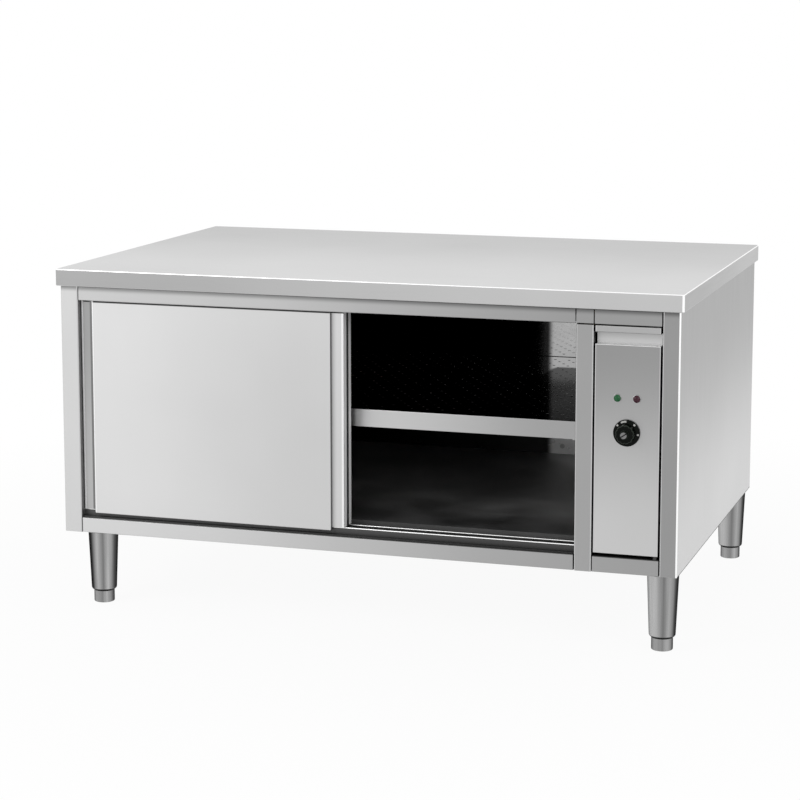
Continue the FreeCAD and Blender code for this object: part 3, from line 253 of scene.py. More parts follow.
def keep(form, name, body, finish, slot, *nodes):
    """Shade a mesh's bends and hand it over as a finished piece of its body."""
    piece = placed(form, name)
    piece.data.materials.append(finish)
    even = piece.modifiers.new("even_shading", "WEIGHTED_NORMAL")
    even.keep_sharp = True
    piece.data = worked_out(piece)
    piece.modifiers.clear()
    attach(piece, body)
    if nodes:
        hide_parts(*nodes)
    return piece


def middle_of(name):
    """The middle of a node's box."""
    low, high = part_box(name)
    return (low + high) / 2


SHEET = 0.0015
CABINET_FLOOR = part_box("rail_bottom")[0].z
FOOT_TOP = 0.029
LEG_TOP_RADIUS = 0.036
LEG_LOW_RADIUS = 0.030
LEG_ROUND = 0.007
LEG_FLANGE_RADIUS = 0.038
LEG_FLANGE = 0.003
STEM_RADIUS = 0.006
BUSH = 0.024
LEG_GAP = 0.0003
STREAKS = 160
TUBE_STEPS = 64
FEET = [f"foot_{end}_{side}" for end in ("front", "back") for side in ("left", "right")]


def painted_reflection_tube(name, roughness, bands):
    """Tube with painted reflections: bright and dark bands along it, set by the way each part of it
    faces, under fine polishing streaks, with its grazing edges tinted dark. Each (side, tone) band
    lies on the part of the tube that faces so far to the left, -1, or to the right, 1."""
    finish = plain_finish(name, (0.4, 0.4, 0.4), roughness, 1)
    normal = added(finish.node_tree, "ShaderNodeTexCoord", {}, "Normal")
    side = added(finish.node_tree, "ShaderNodeSeparateXYZ", {"Vector": normal}, "X")
    banded = ramped(finish, mapped(finish, side, -1, 1, 0, 1),
                    [((place + 1) / 2, [tone] * 3) for place, tone in bands])
    streaks = noise(finish, (STREAKS, STREAKS, 0.5), 1)
    treat(finish, {"Base Color": product(finish, banded, between(finish, streaks, 0.93, 1.07)),
                   "Specular Tint": (0.3, 0.3, 0.3, 1)})
    glossed(finish, streaks, roughness + 0.04, roughness)
    grained(finish, noise(finish, (GRAIN_ACROSS, GRAIN_ACROSS, GRAIN_ALONG), 3), 0.04)
    return finish


# Painted reflections on the legs. The left legs get their own set of bands.
leg_steel = painted_reflection_tube("leg_steel", 0.24, [(-1, 0.52), (-0.3, 0.46), (0.25, 0.18), (0.6, 0.4),
                                       (0.8, 0.27), (0.92, 0.08), (1, 0.07)])
left_leg_painted_reflection = painted_reflection_tube("left_leg_painted_reflection", 0.24, [(-1, 0.04), (-0.5, 0.06), (-0.3, 0.25), (-0.05, 0.45),
                                                 (0.37, 0.19), (0.66, 0.48), (0.85, 0.3), (0.96, 0.08),
                                                 (1, 0.06)])
# Painted shadow: near-black steel put where shade falls.
shadow_steel = brushed("shadow_steel", 0.03, 0.5, "z")
legs = bmesh.new()
for name in FEET:
    turned(legs, [
        (STEM_RADIUS + LEG_GAP, FOOT_TOP + LEG_GAP, 0),
        (LEG_LOW_RADIUS, FOOT_TOP + LEG_GAP, LEG_ROUND),
        (LEG_TOP_RADIUS, CABINET_FLOOR - LEG_FLANGE, 0),
        (LEG_FLANGE_RADIUS, CABINET_FLOOR - LEG_FLANGE, 0.001),
        (LEG_FLANGE_RADIUS, CABINET_FLOOR, 0),
        (LEG_TOP_RADIUS - SHEET, CABINET_FLOOR, 0),
        (LEG_LOW_RADIUS - SHEET, FOOT_TOP + BUSH, 0),
        (STEM_RADIUS + LEG_GAP, FOOT_TOP + BUSH, 0),
    ], (*middle_of(name).xy, 0), "z", TUBE_STEPS)
legs_piece = keep(legs, "legs_tapered", "cabinet", leg_steel, "leg_steel", "legs")
faced(legs_piece, left_leg_painted_reflection, lambda normal, middle: middle.x < 0)
# Painted shadow on the undersides of the legs.
faced(legs_piece, shadow_steel, lambda normal, middle: normal.z < -0.4)


# Feet: turned stainless steel pads on threaded stems, screwed into the bushes of the legs to level
# the table. The pad has a rounded rim, bands of painted reflection, and a band of painted shadow
# just under the leg.
# Painted reflections on the feet, in bands like the legs'.
foot_steel = painted_reflection_tube("foot_steel", 0.26, [(-1, 0.19), (-0.5, 0.35), (0.25, 0.24), (0.6, 0.43),
                                         (0.88, 0.28), (1, 0.1)])
FOOT_RADIUS = 0.0245
FOOT_ROUND = 0.0025
FOOT_SHADOW_BAND = 0.0009
for name in FEET:
    low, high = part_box(name)
    foot = bmesh.new()
    turned(foot, [
        (0, low.z, 0),
        (FOOT_RADIUS, low.z, FOOT_ROUND),
        (FOOT_RADIUS, FOOT_TOP - FOOT_SHADOW_BAND, 0),
        (FOOT_RADIUS, FOOT_TOP, 0.0005),
        (STEM_RADIUS, FOOT_TOP, 0),
        (STEM_RADIUS, high.z, 0.001),
        (0, high.z, 0),
    ], (*middle_of(name).xy, 0), "z", TUBE_STEPS)
    pad = keep(foot, f"{name}_pad", name, foot_steel, "foot_steel", name)
    # Painted shadow on the band of the pad just under the leg.
    faced(pad, shadow_steel, lambda normal, middle: middle.z > FOOT_TOP - FOOT_SHADOW_BAND)


# Side panels: each is one stainless sheet, folded round its front edge to make the front post and
# with a flange at the back that carries the back panel. Brushed upright. The sides darken towards
# the top as painted shade, the left post is painted lighter than the right as painted light, and
# both posts darken just under the worktop as painted shadow.
def folded(form, corners, sheet, low, high, place, inset=0):
    """Sweep a sheet's middle line straight from low to high, and give it its thickness.
    An inset leaves a narrow band of faces along both ends."""
    line = bent(corners)
    pairs = []
    for index, spot in enumerate(line):
        after = (line[index + 1] - spot).normalized() if index + 1 < len(line) else None
        before = (spot - line[index - 1]).normalized() if index else after
        after = after or before
        along = (before + after).normalized()
        across = Vector((-along.y, along.x)) * sheet / 2 / along.dot(before)
        pairs.append((spot + across, spot - across))
    stations = [low, low + inset, high - inset, high] if inset else [low, high]
    ends = [[[form.verts.new(place(pair[side], end)) for pair in pairs] for side in (0, 1)]
            for end in stations]
    for index in range(1, len(line)):
        for near, far in zip(ends, ends[1:]):
            for side in (0, 1):
                form.faces.new((near[side][index - 1], near[side][index],
                                far[side][index], far[side][index - 1]))
        for end in (ends[0], ends[-1]):
            form.faces.new((end[0][index - 1], end[0][index], end[1][index], end[1][index - 1]))
    for near, far in zip(ends, ends[1:]):
        for index in (0, -1):
            form.faces.new((near[0][index], near[1][index], far[1][index], far[0][index]))


def upright(spot, height):
    """A plan outline's point raised to a height."""
    return Vector((spot.x, spot.y, height))


BEND = 0.0022
CORNER_BEND = 0.0045
MIDDLE = SHEET / 2
BACK_FLANGE = 0.025
CABINET_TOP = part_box("rail_top")[1].z
# Painted shadow just under the worktop.
SHADE_UNDER_WORKTOP = ("z", CABINET_TOP - 0.016, CABINET_TOP, 0.45)
# Painted light and shade: the sides darken towards the top, and the two posts are lit and shaded copies of
# one steel.
side_steel = brushed("side_steel", 0.61, 0.33, "z", run=("z", 0.18, 0.77, 0.32))
lit_left_post_steel = brushed("lit_left_post_steel", 0.65, 0.33, "z", shade=SHADE_UNDER_WORKTOP)
shaded_right_post_steel = brushed("shaded_right_post_steel", 0.31, 0.33, "z", shade=SHADE_UNDER_WORKTOP)
# Painted highlight: white steel on bends that catch the light.
highlight_steel = brushed("highlight_steel", 1, 0.3, "z")
lip_steel = brushed("lip_steel", 0.55, 0.33, "z")
# Painted shade: dark steel on inner returns, seams and rail ends, a little lighter on the left return.
return_shade_steel = brushed("return_shade_steel", 0.1, 0.45, "z")
left_return_shade_steel = brushed("left_return_shade_steel", 0.3, 0.45, "z")
SIDE_LIP = 0.002
LEFT_POST = 0.045
RIGHT_POST = 0.04
FORWARD = -0.5
SLIGHT = 0.1
FLAT = 0.75
left_low, left_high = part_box("side_panel_left")
right_low, right_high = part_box("side_panel_right")
doors_left = left_low.x + LEFT_POST
bay_right = right_high.x - RIGHT_POST
frame_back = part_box("centre_post")[1].y
front = left_low.y
back = left_high.y
for name, low, high, outer, inner, inward, post_finish, return_finish in (
        ("side_panel_left", left_low, left_high, left_low.x + MIDDLE, doors_left - MIDDLE, 1,
         lit_left_post_steel, left_return_shade_steel),
        ("side_panel_right", right_low, right_high, right_high.x - MIDDLE, bay_right + MIDDLE, -1,
         shaded_right_post_steel, return_shade_steel)):
    side_panel = bmesh.new()
    folded(side_panel, [
        (outer + inward * (BACK_FLANGE - MIDDLE), back - MIDDLE, 0),
        (outer, back - MIDDLE, BEND),
        (outer, front + MIDDLE, CORNER_BEND),
        (inner, front + MIDDLE, BEND),
        (inner, frame_back, 0),
    ], SHEET, low.z, high.z, upright, SIDE_LIP)
    side_piece = keep(side_panel, f"{name}_sheet", "cabinet", side_steel, "brushed_steel", name)
    faced(side_piece, post_finish, lambda normal, middle: normal.y < FORWARD)
    faced(side_piece, lip_steel, lambda normal, middle: SLIGHT < normal.x * inward < FLAT)
    # Painted shade on the inner return and along the panel's lower edge.
    faced(side_piece, return_finish, lambda normal, middle: normal.x * inward > FLAT)
    faced(side_piece, return_shade_steel, lambda normal, middle: normal.x * inward < -0.9
          and middle.z < low.z + SIDE_LIP)
    # Painted highlight on the front right corner.
    faced(side_piece, highlight_steel, lambda normal, middle: normal.x > 0.2 and normal.y < -0.2
          and middle.x > bay_right + BEND)


# Centre post: a folded channel of the same sheet between the doors and the control bay, closed
# above by a short cap that lines up with the top rails. Its steel is painted darker than the left
# post's, as painted shade.
# Painted shade: darker than the left post.
post_steel = brushed("post_steel", 0.36, 0.33, "z")
POST_SEAM = 0.002
post_low, post_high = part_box("centre_post")
centre_post = bmesh.new()
folded(centre_post, [
    (post_low.x + MIDDLE, frame_back, 0),
    (post_low.x + MIDDLE, front + MIDDLE, BEND),
    (post_high.x - MIDDLE, front + MIDDLE, BEND),
    (post_high.x - MIDDLE, frame_back, 0),
], SHEET, post_low.z, post_high.z - POST_SEAM, upright)
post_piece = keep(centre_post, "centre_post_sheet", "cabinet", post_steel, "brushed_steel", "centre_post")
faced(post_piece, lip_steel, lambda normal, middle: SLIGHT < abs(normal.x) < FLAT)
# Painted shade on the post's returns.
faced(post_piece, return_shade_steel, lambda normal, middle: abs(normal.x) > FLAT)


# Rails: channels folded from the same sheet and tacked between the posts from behind, so that a
# narrow seam shows at each end. The cap is closed at its right end, and the sill is the upper
# flange of the bottom rail, painted dark as painted shade. The rails darken from left to right
# as a painted falloff of light, and the top ones darken just under the worktop as painted shadow.
def level(spot, across):
    """A section's point set at its place from left to right."""
    return Vector((across, spot.x, spot.y))


def bar(form, outline, low, high, place):
    """A solid bar with the same closed outline from low to high."""
    ends = [[form.verts.new(place(spot, end)) for spot in outline] for end in (low, high)]
    for index in range(len(outline)):
        form.faces.new((ends[0][index - 1], ends[0][index], ends[1][index], ends[1][index - 1]))
    form.faces.new(ends[0])
    form.faces.new(ends[1])


SEAM = 0.002
CAP_SEAM = 0.0006
# Painted falloff of light from left to right, and painted shadow under the worktop.
top_rail_steel = brushed("top_rail_steel", 0.585, 0.33, "x", run=("x", -0.9, 0.8, 0.33), shade=SHADE_UNDER_WORKTOP)
rail_steel = brushed("rail_steel", 0.68, 0.33, "x", run=("x", -0.9, 0.8, 0.345))
# Painted shade: the sill's upper faces are dark steel.
sill_shade_steel = brushed("sill_shade_steel", 0.12, 0.45, "x", run=("x", -0.7, 0.5, 0.08))
RAIL_LIP = 0.006
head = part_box("rail_top")[0].z
for name in ("rail_top", "post_cap", "rail_top_right"):
    low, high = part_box(name)
    seam = CAP_SEAM if name == "post_cap" else SEAM
    rail = bmesh.new()
    folded(rail, [
        (front + RAIL_LIP, CABINET_TOP - MIDDLE, 0),
        (front + MIDDLE, CABINET_TOP - MIDDLE, BEND),
        (front + MIDDLE, head + MIDDLE, BEND),
        (high.y, head + MIDDLE, 0),
    ], SHEET, low.x + seam, high.x - seam, level)
    if name == "post_cap":
        cheek = [Vector((across, height)) for across, height in (
            (front + SHEET, head + SHEET), (high.y, head + SHEET),
            (high.y, CABINET_TOP - SHEET), (front + SHEET, CABINET_TOP - SHEET))]
        bar(rail, cheek, high.x - seam - SHEET, high.x - seam, level)
    rail_piece = keep(rail, f"{name}_channel", "cabinet", top_rail_steel, "brushed_steel", name)
    # Painted shade on the rail ends at their seams.
    faced(rail_piece, return_shade_steel, lambda normal, middle: normal.x > 0.9 and middle.y > front + SHEET)
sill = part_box("rail_bottom")[1].z
for name in ("rail_bottom", "rail_bottom_right"):
    low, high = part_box(name)
    rail = bmesh.new()
    folded(rail, [
        (frame_back, sill - MIDDLE, 0),
        (front + MIDDLE, sill - MIDDLE, BEND),
        (front + MIDDLE, CABINET_FLOOR + MIDDLE, BEND),
        (frame_back, CABINET_FLOOR + MIDDLE, 0),
    ], SHEET, low.x + SEAM, high.x - SEAM, level)
    rail_piece = keep(rail, f"{name}_channel", "cabinet", rail_steel, "brushed_steel", name)
    faced(rail_piece, sill_shade_steel, lambda normal, middle: normal.z > 0.35)


# Bottom and back panels: plain mill-finish sheets. The bottom one is a shallow tray. The back one
# is screwed to the side panels' flanges and has louvres for the control bay.
def dress(finish, *nodes):
    """Give a finish to nodes that are shown as they are."""
    for name in nodes:
        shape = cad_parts[name].data
        shape.materials.clear()
        shape.materials.append(finish)


def repeated_tree():
    """A pattern that sets the unit it is given on a grid, with every second row staggered."""
    tree = bpy.data.node_groups.new("repeated_unit", "GeometryNodeTree")
    face = tree.interface
    sockets = {}
    for label, kind in (("Unit", "Geometry"), ("Columns", "Int"), ("Rows", "Int"),
                        ("Column Pitch", "Float"), ("Row Pitch", "Float"), ("Stagger", "Float"),
                        ("Turn", "Vector"), ("Middle", "Vector"), ("Finish", "Material")):
        sockets[label] = face.new_socket(label, in_out="INPUT", socket_type=f"NodeSocket{kind}").identifier
    face.new_socket("Set", in_out="OUTPUT", socket_type="NodeSocketGeometry")
    given = tree.nodes.new("NodeGroupInput").outputs

    def worked(operation, first, second):
        """The result of a sum in the tree."""
        return added(tree, "ShaderNodeMath", {0: first, 1: second}, operation=operation)

    grid = added(tree, "GeometryNodeMeshGrid", {
        "Vertices X": given["Columns"],
        "Vertices Y": given["Rows"],
        "Size X": worked("MULTIPLY", worked("SUBTRACT", given["Columns"], 1), given["Column Pitch"]),
        "Size Y": worked("MULTIPLY", worked("SUBTRACT", given["Rows"], 1), given["Row Pitch"]),
    })
    row = worked("MODULO", added(tree, "GeometryNodeInputIndex", {}), given["Rows"])
    shift = worked("MULTIPLY", worked("MODULO", row, 2), given["Stagger"])
    staggered = added(tree, "GeometryNodeSetPosition", {
        "Geometry": grid, "Offset": added(tree, "ShaderNodeCombineXYZ", {"X": shift})})
    points = added(tree, "GeometryNodeTransform", {
        "Geometry": staggered, "Rotation": given["Turn"], "Translation": given["Middle"]})
    copies = added(tree, "GeometryNodeInstanceOnPoints", {"Points": points, "Instance": given["Unit"]})
    real = added(tree, "GeometryNodeRealizeInstances", {"Geometry": copies})
    painted = added(tree, "GeometryNodeSetMaterial", {"Geometry": real, "Material": given["Finish"]})
    fill(tree.nodes.new("NodeGroupOutput"), {"Set": painted})
    return tree, sockets


REPEATED, REPEATED_INPUTS = repeated_tree()


def repeated(unit, name, body, finish, slot, values, *nodes):
    """Set a unit, drawn round the origin, on the pattern's grid and keep the set as one piece."""
    seed = placed(unit, f"{name}_unit")
    pattern = seed.modifiers.new("pattern", "NODES")
    pattern.node_group = REPEATED
    for label, value in {**values, "Finish": finish}.items():
        pattern[REPEATED_INPUTS[label]] = value
    units = bmesh.new()
    units.from_mesh(worked_out(seed))
    bpy.data.objects.remove(seed)
    return keep(units, name, body, finish, slot, *nodes)


mill_steel = brushed("mill_steel", 0.5, 0.42, "x")
dress(mill_steel, "bottom_panel", "back_panel")
LOUVRE_COUNT = 7
LOUVRE_PITCH = 0.018
LOUVRE_HALF = 0.046
LOUVRE_DROP = 0.065
LOUVRE_STAND = 0.005
LOUVRE_SHEET = 0.0008
hood = bmesh.new()
folded(hood, [
    (0.0004, 0.009, 0),
    (LOUVRE_STAND, 0.004, 0.002),
    (LOUVRE_STAND, -0.001, 0),
], LOUVRE_SHEET, -LOUVRE_HALF, LOUVRE_HALF, level)
repeated(hood, "back_louvres", "cabinet", mill_steel, "plain_steel", {
    "Columns": LOUVRE_COUNT,
    "Rows": 1,
    "Column Pitch": LOUVRE_PITCH,
    "Turn": (0, -math.pi / 2, 0),
    "Middle": (middle_of("control_panel").x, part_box("back_panel")[1].y,
               CABINET_TOP - LOUVRE_DROP - (LOUVRE_COUNT - 1) * LOUVRE_PITCH / 2),
})
SCREW_RADIUS = 0.0055
SCREW_HEAD = 0.0025
SCREW_SOCKET = 0.0016
SOCKET_FLOOR = SCREW_HEAD * 0.4
SCREW_STEPS = 16
SCREW_ROWS = 5
screw_low, screw_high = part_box("back_screws")
screw = bmesh.new()
turned(screw, [
    (0, 0, 0),
    (SCREW_RADIUS, 0, 0),
    (SCREW_RADIUS, SOCKET_FLOOR, 0),
    (SCREW_RADIUS * 0.5, SCREW_HEAD, 0.001),
    (SCREW_SOCKET, SCREW_HEAD, 0),
    (SCREW_SOCKET, SOCKET_FLOOR, 0),
    (0, SOCKET_FLOOR, 0),
], (0, 0, 0), "y", SCREW_STEPS)
repeated(screw, "back_screw_heads", "cabinet", mill_steel, "plain_steel", {
    "Columns": 2,
    "Rows": SCREW_ROWS,
    "Column Pitch": screw_high.x - screw_low.x - 2 * SCREW_RADIUS,
    "Row Pitch": (screw_high.z - screw_low.z - 2 * SCREW_RADIUS) / (SCREW_ROWS - 1),
    "Turn": (math.pi / 2, 0, 0),
    "Middle": (middle_of("back_screws").x, screw_low.y, middle_of("back_screws").z),
}, "back_screws")


# Chamber: floor, walls and ceiling of stainless sheet, painted dark as painted shade, packed round
# with mineral wool. The back wall is dark and glossy, with a painted pool of light at its right end
# that is duller low down. The deck is painted lighter to the right and darker towards the doors.
def chamber_finish(name, tone, roughness, run=None, shade=None, dulled=None):
    """Bare stainless sheet, its tone set low as painted shade, with a mottled gloss. Its tone runs and
    shades like brushed steel's, and dulled (axis, start, end, times) roughens it towards one edge."""
    finish = plain_finish(name, [tone] * 3, roughness, 1)
    cloud = noise(finish, (9, 9, 14), 6)
    toned(finish, tone, between(finish, cloud, 0.9, 1.1), run, shade)
    gloss = between(finish, cloud, roughness * 0.8, roughness * 1.2)
    if dulled:
        axis, start, end, times = dulled
        gloss = product(finish, gloss, drift(finish, axis, start, end, 1, times))
    treat(finish, {"Roughness": gloss})
    grained(finish, noise(finish, (500, 500, 500), 2), 0.08)
    return finish


# Painted shade: the chamber's walls and ceiling are dark steel.
chamber_dark = chamber_finish("chamber_dark", 0.12, 0.25)
dress(chamber_dark, "liner_left", "liner_right", "liner_top", "fan_cover")
# Painted light and shade: the deck lightens to the right and darkens towards the doors.
chamber_floor = chamber_finish("chamber_floor", 0.4, 0.6, run=("x", 0, 0.5, 0.5),
                               shade=("y", -0.1, -0.42, 0.25))
dress(chamber_floor, "deck")
# Painted light: the back wall's right end is a painted pool of light.
chamber_back = chamber_finish("chamber_back", 0.03, 0.05, run=("x", 0.204, 0.226, 0.78),
                              dulled=("z", 0.48, 0.44, 6))
dress(chamber_back, "liner_back")


def woolly(name, colour):
    """Mineral wool: dull and fibrous."""
    finish = plain_finish(name, colour, 0.95, 0)
    fibres = noise(finish, (180, 320, 240), 8)
    tinted(finish, fibres, [channel * 0.7 for channel in colour], colour)
    grained(finish, fibres, 0.9)
    return finish


wool = woolly("mineral_wool", (0.62, 0.52, 0.28))
dress(wool, "insulation_blanket", "insulation_top", "insulation_floor", "door_front_core",
      "door_rear_core")
WASHER_RADIUS = 0.0065
WASHER = 0.0008
WASHER_STEPS = 24
SCREW_SPOT = (0.248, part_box("liner_back")[0].y, 0.261)
wall_screw = bmesh.new()
turned(wall_screw, [
    (0, -0.0006, 0),
    (0.003, -0.0022, 0.0008),
    (0.0032, -WASHER, 0),
    (WASHER_RADIUS, -WASHER, 0),
    (WASHER_RADIUS, 0, 0),
    (0, 0, 0),
], SCREW_SPOT, "y", WASHER_STEPS)
keep(wall_screw, "back_wall_screw", "cabinet", mill_steel, "chamber_steel")


# Sill and door tracks: two upright ribs with round beads guide the doors below, and hooked ledges
# under the worktop carry their rollers. Extruded stainless sections, painted dark as painted shade,
# with the beads white as painted highlights.
# Painted shade on the tracks, and painted highlights on the beads.
track_steel = brushed("track_steel", 0.12, 0.45, "x", run=("x", -0.7, 0.5, 0.08))
bead_highlight_steel = brushed("bead_highlight_steel", 1, 0.25, "x")
sill_low, sill_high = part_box("sill_track")
FACES = {door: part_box(f"{door}_skin")[0].y for door in ("door_front", "door_rear")}
RIB_SETBACK = 0.0145
RIB_WEB = 0.0015
BEAD = 0.004
BEAD_STEPS = 16
sill_track = bmesh.new()
folded(sill_track, [
    (sill_low.y, sill + MIDDLE, 0),
    (sill_high.y, sill + MIDDLE, 0),
], SHEET, sill_low.x, sill_high.x, level)
for face in FACES.values():
    folded(sill_track, [
        (face + RIB_SETBACK, sill + SHEET, 0),
        (face + RIB_SETBACK, sill_high.z - BEAD, 0),
    ], RIB_WEB, sill_low.x, sill_high.x, level)
keep(sill_track, "sill_strip", "cabinet", track_steel, "track_steel", "sill_track")
beads = bmesh.new()
for face in FACES.values():
    ring = [Vector((face + RIB_SETBACK + BEAD / 2 * math.cos(math.tau * step / BEAD_STEPS),
                    sill_high.z - BEAD / 2 + BEAD / 2 * math.sin(math.tau * step / BEAD_STEPS)))
            for step in range(BEAD_STEPS)]
    bar(beads, ring, sill_low.x, sill_high.x, level)
keep(beads, "sill_beads", "cabinet", bead_highlight_steel, "track_steel")
dress(track_steel, "door_track")


# Doors: each is a hollow leaf of folded sheet, filled with wool board, with a raised front that
# hangs a little below it and leaves a round-nosed finger strip down each side. Brushed upright.
# The fronts darken from left to right as a painted falloff of light, and the finger strips are
# painted darker as painted shade.
def pan(form, low, high, corners, corner_radius, place):
    """A shallow pan: rounded rectangles set one inside the other by (inset, height, bend)."""
    rings = []
    for inset, height in bent(corners):
        radius = max(corner_radius - inset, 0.0002)
        middles = [(high[0] - inset - radius, high[1] - inset - radius),
                   (low[0] + inset + radius, high[1] - inset - radius),
                   (low[0] + inset + radius, low[1] + inset + radius),
                   (high[0] - inset - radius, low[1] + inset + radius)]
        ring = []
        for quarter, (across, along) in enumerate(middles):
            for step in range(5):
                angle = (quarter + step / 4) * math.pi / 2
                ring.append(form.verts.new(place(across + radius * math.cos(angle),
                                                 along + radius * math.sin(angle), height)))
        rings.append(ring)
    for lower, upper in zip(rings, rings[1:]):
        for index in range(len(lower)):
            form.faces.new((lower[index - 1], lower[index], upper[index], upper[index - 1]))
    form.faces.new(rings[0])
    form.faces.new(rings[-1])


# Painted shadow: a dark line across the doors where they run behind the top rail.
SHADOW_UNDER_RAIL = ("z", 0.7305, 0.7325, 0.06)
# Painted falloff of light from left to right.
door_steel = brushed("door_steel", 0.7, 0.36, "z", run=("x", -0.66, -0.08, 0.6), shade=SHADOW_UNDER_RAIL)
# Painted shade in the finger strips beside the raised front.
left_strip_steel = brushed("left_strip_steel", 0.36, 0.36, "z", run=("z", 0.75, 0.25, 0.46),
                           shade=SHADOW_UNDER_RAIL)
right_strip_steel = brushed("right_strip_steel", 0.36, 0.36, "z", run=("x", -0.073, -0.053, 0.62),
                            shade=SHADOW_UNDER_RAIL)
# Painted highlight on the round noses and on the pull's lower bend.
nose_highlight_steel = brushed("nose_highlight_steel", 0.85, 0.3, "z", shade=SHADOW_UNDER_RAIL)
# Painted shade: dark steel for the creases beside the raised front.
groove_shade_steel = brushed("groove_shade_steel", 0.2, 0.4, "z")


def lit_matte(name, tone):
    """A matte, nearly white copy of the steel: painted light on folds and sides that catch the light."""
    finish = plain_finish(name, [tone] * 3, 0.6, 0)
    treat(finish, {"Specular IOR Level": 0.2})
    scuffs = noise(finish, (300, 300, 12), 3)
    tinted(finish, scuffs, [tone * 0.96] * 3, [tone * 1.04] * 3)
    grained(finish, scuffs, 0.05)
    return finish


lit_side_steel = lit_matte("lit_side_steel", 0.95)
STRIP_WIDTH = 0.03
NOSE_WIDTH = 0.0055
GROOVE = 0.007
STRIP_STEP = 0.006
SKIN = 0.0012
HALF_SKIN = SKIN / 2
PAN_CORNER = 0.003
HAIR = 0.0001
NOSE = 0.003
RAISED_BEND = 0.0025
RAISED_EDGE = 0.001
LEAF_GAP = 0.0004
leaf_bottom = sill_high.z + LEAF_GAP
for door, face in FACES.items():
    low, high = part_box(f"{door}_skin")
    strip = face + STRIP_STEP
    leaf = bmesh.new()
    folded(leaf, [
        (low.x + HALF_SKIN, high.y, 0),
        (low.x + HALF_SKIN, strip + HALF_SKIN, NOSE),
        (low.x + NOSE_WIDTH, strip + HALF_SKIN, 0),
        (low.x + STRIP_WIDTH - GROOVE, strip + HALF_SKIN, 0),
        (high.x - STRIP_WIDTH, strip + HALF_SKIN, 0),
        (high.x - NOSE_WIDTH, strip + HALF_SKIN, 0),
        (high.x - HALF_SKIN, strip + HALF_SKIN, NOSE),
        (high.x - HALF_SKIN, high.y, 0),
    ], SKIN, leaf_bottom, high.z, upright)
    for edge in (leaf_bottom, high.z - SKIN):
        lid = [Vector((low.x + SKIN, high.y)), Vector((low.x + SKIN, strip + NOSE)),
               Vector((low.x + NOSE, strip + SKIN)), Vector((high.x - NOSE, strip + SKIN)),
               Vector((high.x - SKIN, strip + NOSE)), Vector((high.x - SKIN, high.y))]
        bar(leaf, lid, edge, edge + SKIN, upright)
    pan(leaf, (low.x + STRIP_WIDTH, low.z), (high.x - STRIP_WIDTH, high.z), [
        (0, strip, 0),
        (0, face, RAISED_BEND),
        (RAISED_BEND + RAISED_EDGE, face, 0),
    ], PAN_CORNER, lambda across, along, height: Vector((across, height, along)))
    leaf_piece = keep(leaf, f"{door}_leaf", door, door_steel, "door_steel", f"{door}_skin")
    faced(leaf_piece, left_strip_steel, lambda normal, middle: normal.y < FORWARD
          and middle.x < low.x + STRIP_WIDTH - GROOVE)
    faced(leaf_piece, right_strip_steel, lambda normal, middle: normal.y < FORWARD
          and middle.x > high.x - STRIP_WIDTH)
    # Painted shade on the strip level behind the raised front.
    faced(leaf_piece, groove_shade_steel, lambda normal, middle: normal.y < FORWARD
          and abs(middle.y - strip) < HAIR and abs(middle.x - (low.x + high.x) / 2) < 0.1)
    # Painted highlight on the noses.
    faced(leaf_piece, nose_highlight_steel, lambda normal, middle: normal.y < -0.3 and middle.y > strip - HAIR
          and not low.x + NOSE_WIDTH < middle.x < high.x - NOSE_WIDTH)
    # Painted shadow on the rear door's right nose.
    if door == "door_rear":
        faced(leaf_piece, shadow_steel, lambda normal, middle: normal.x > 0 and normal.y < -0.1
              and middle.y > strip - HAIR and middle.x > high.x - NOSE_WIDTH)
    # Painted light on the left noses and on the door sides.
    faced(leaf_piece, lit_side_steel, lambda normal, middle: normal.y < -0.1
          and middle.y > strip - HAIR and middle.x < low.x + NOSE_WIDTH)
    faced(leaf_piece, lit_side_steel, lambda normal, middle: abs(normal.x) > 0.9
          and middle.y > strip + NOSE and not low.x + HALF_SKIN < middle.x < high.x - HALF_SKIN)
    # Painted highlight on the raised front's left bend.
    faced(leaf_piece, highlight_steel, lambda normal, middle: normal.y < -0.2 and middle.y < strip - 0.001
          and middle.x < low.x + STRIP_WIDTH + RAISED_BEND + RAISED_EDGE)
    # Painted shade in the crease at the raised front's side.
    faced(leaf_piece, groove_shade_steel, lambda normal, middle: normal.x > 0.3
          and face + 0.0004 < middle.y < strip + HAIR)
dress(door_steel, "door_front_liner", "door_rear_liner")
dress(mill_steel, "door_front_hangers", "door_rear_hangers")


def moulded(name, colour, roughness, mirroring=0.2):
    """Plastic with the faint unevenness of its mould."""
    finish = plain_finish(name, colour, roughness, 0)
    treat(finish, {"Specular IOR Level": mirroring})
    cloud = noise(finish, (120, 120, 120), 3)
    tinted(finish, cloud, [channel * 0.85 for channel in colour], colour)
    glossed(finish, cloud, roughness - 0.05, roughness + 0.05)
    grained(finish, noise(finish, (2500, 2500, 2500), 2), 0.05)
    return finish


nylon = moulded("nylon", (0.8, 0.8, 0.76), 0.45)
dress(nylon, *(f"{door}_roller_{side}" for door in FACES for side in ("left", "right")))


# Shelf: a deep-lipped tray of perforated stainless sheet, painted dark on top as painted shade, that
# stands on two angle rails. The rims of its punched holes carry painted glints that fade towards the
# front as painted shade. The lip is painted lighter at its left end, and the top's reflection is
# dimmed at its front right corner as painted shade.
def flat(across, along, height):
    """A plan rectangle's point at its height."""
    return Vector((across, along, height))


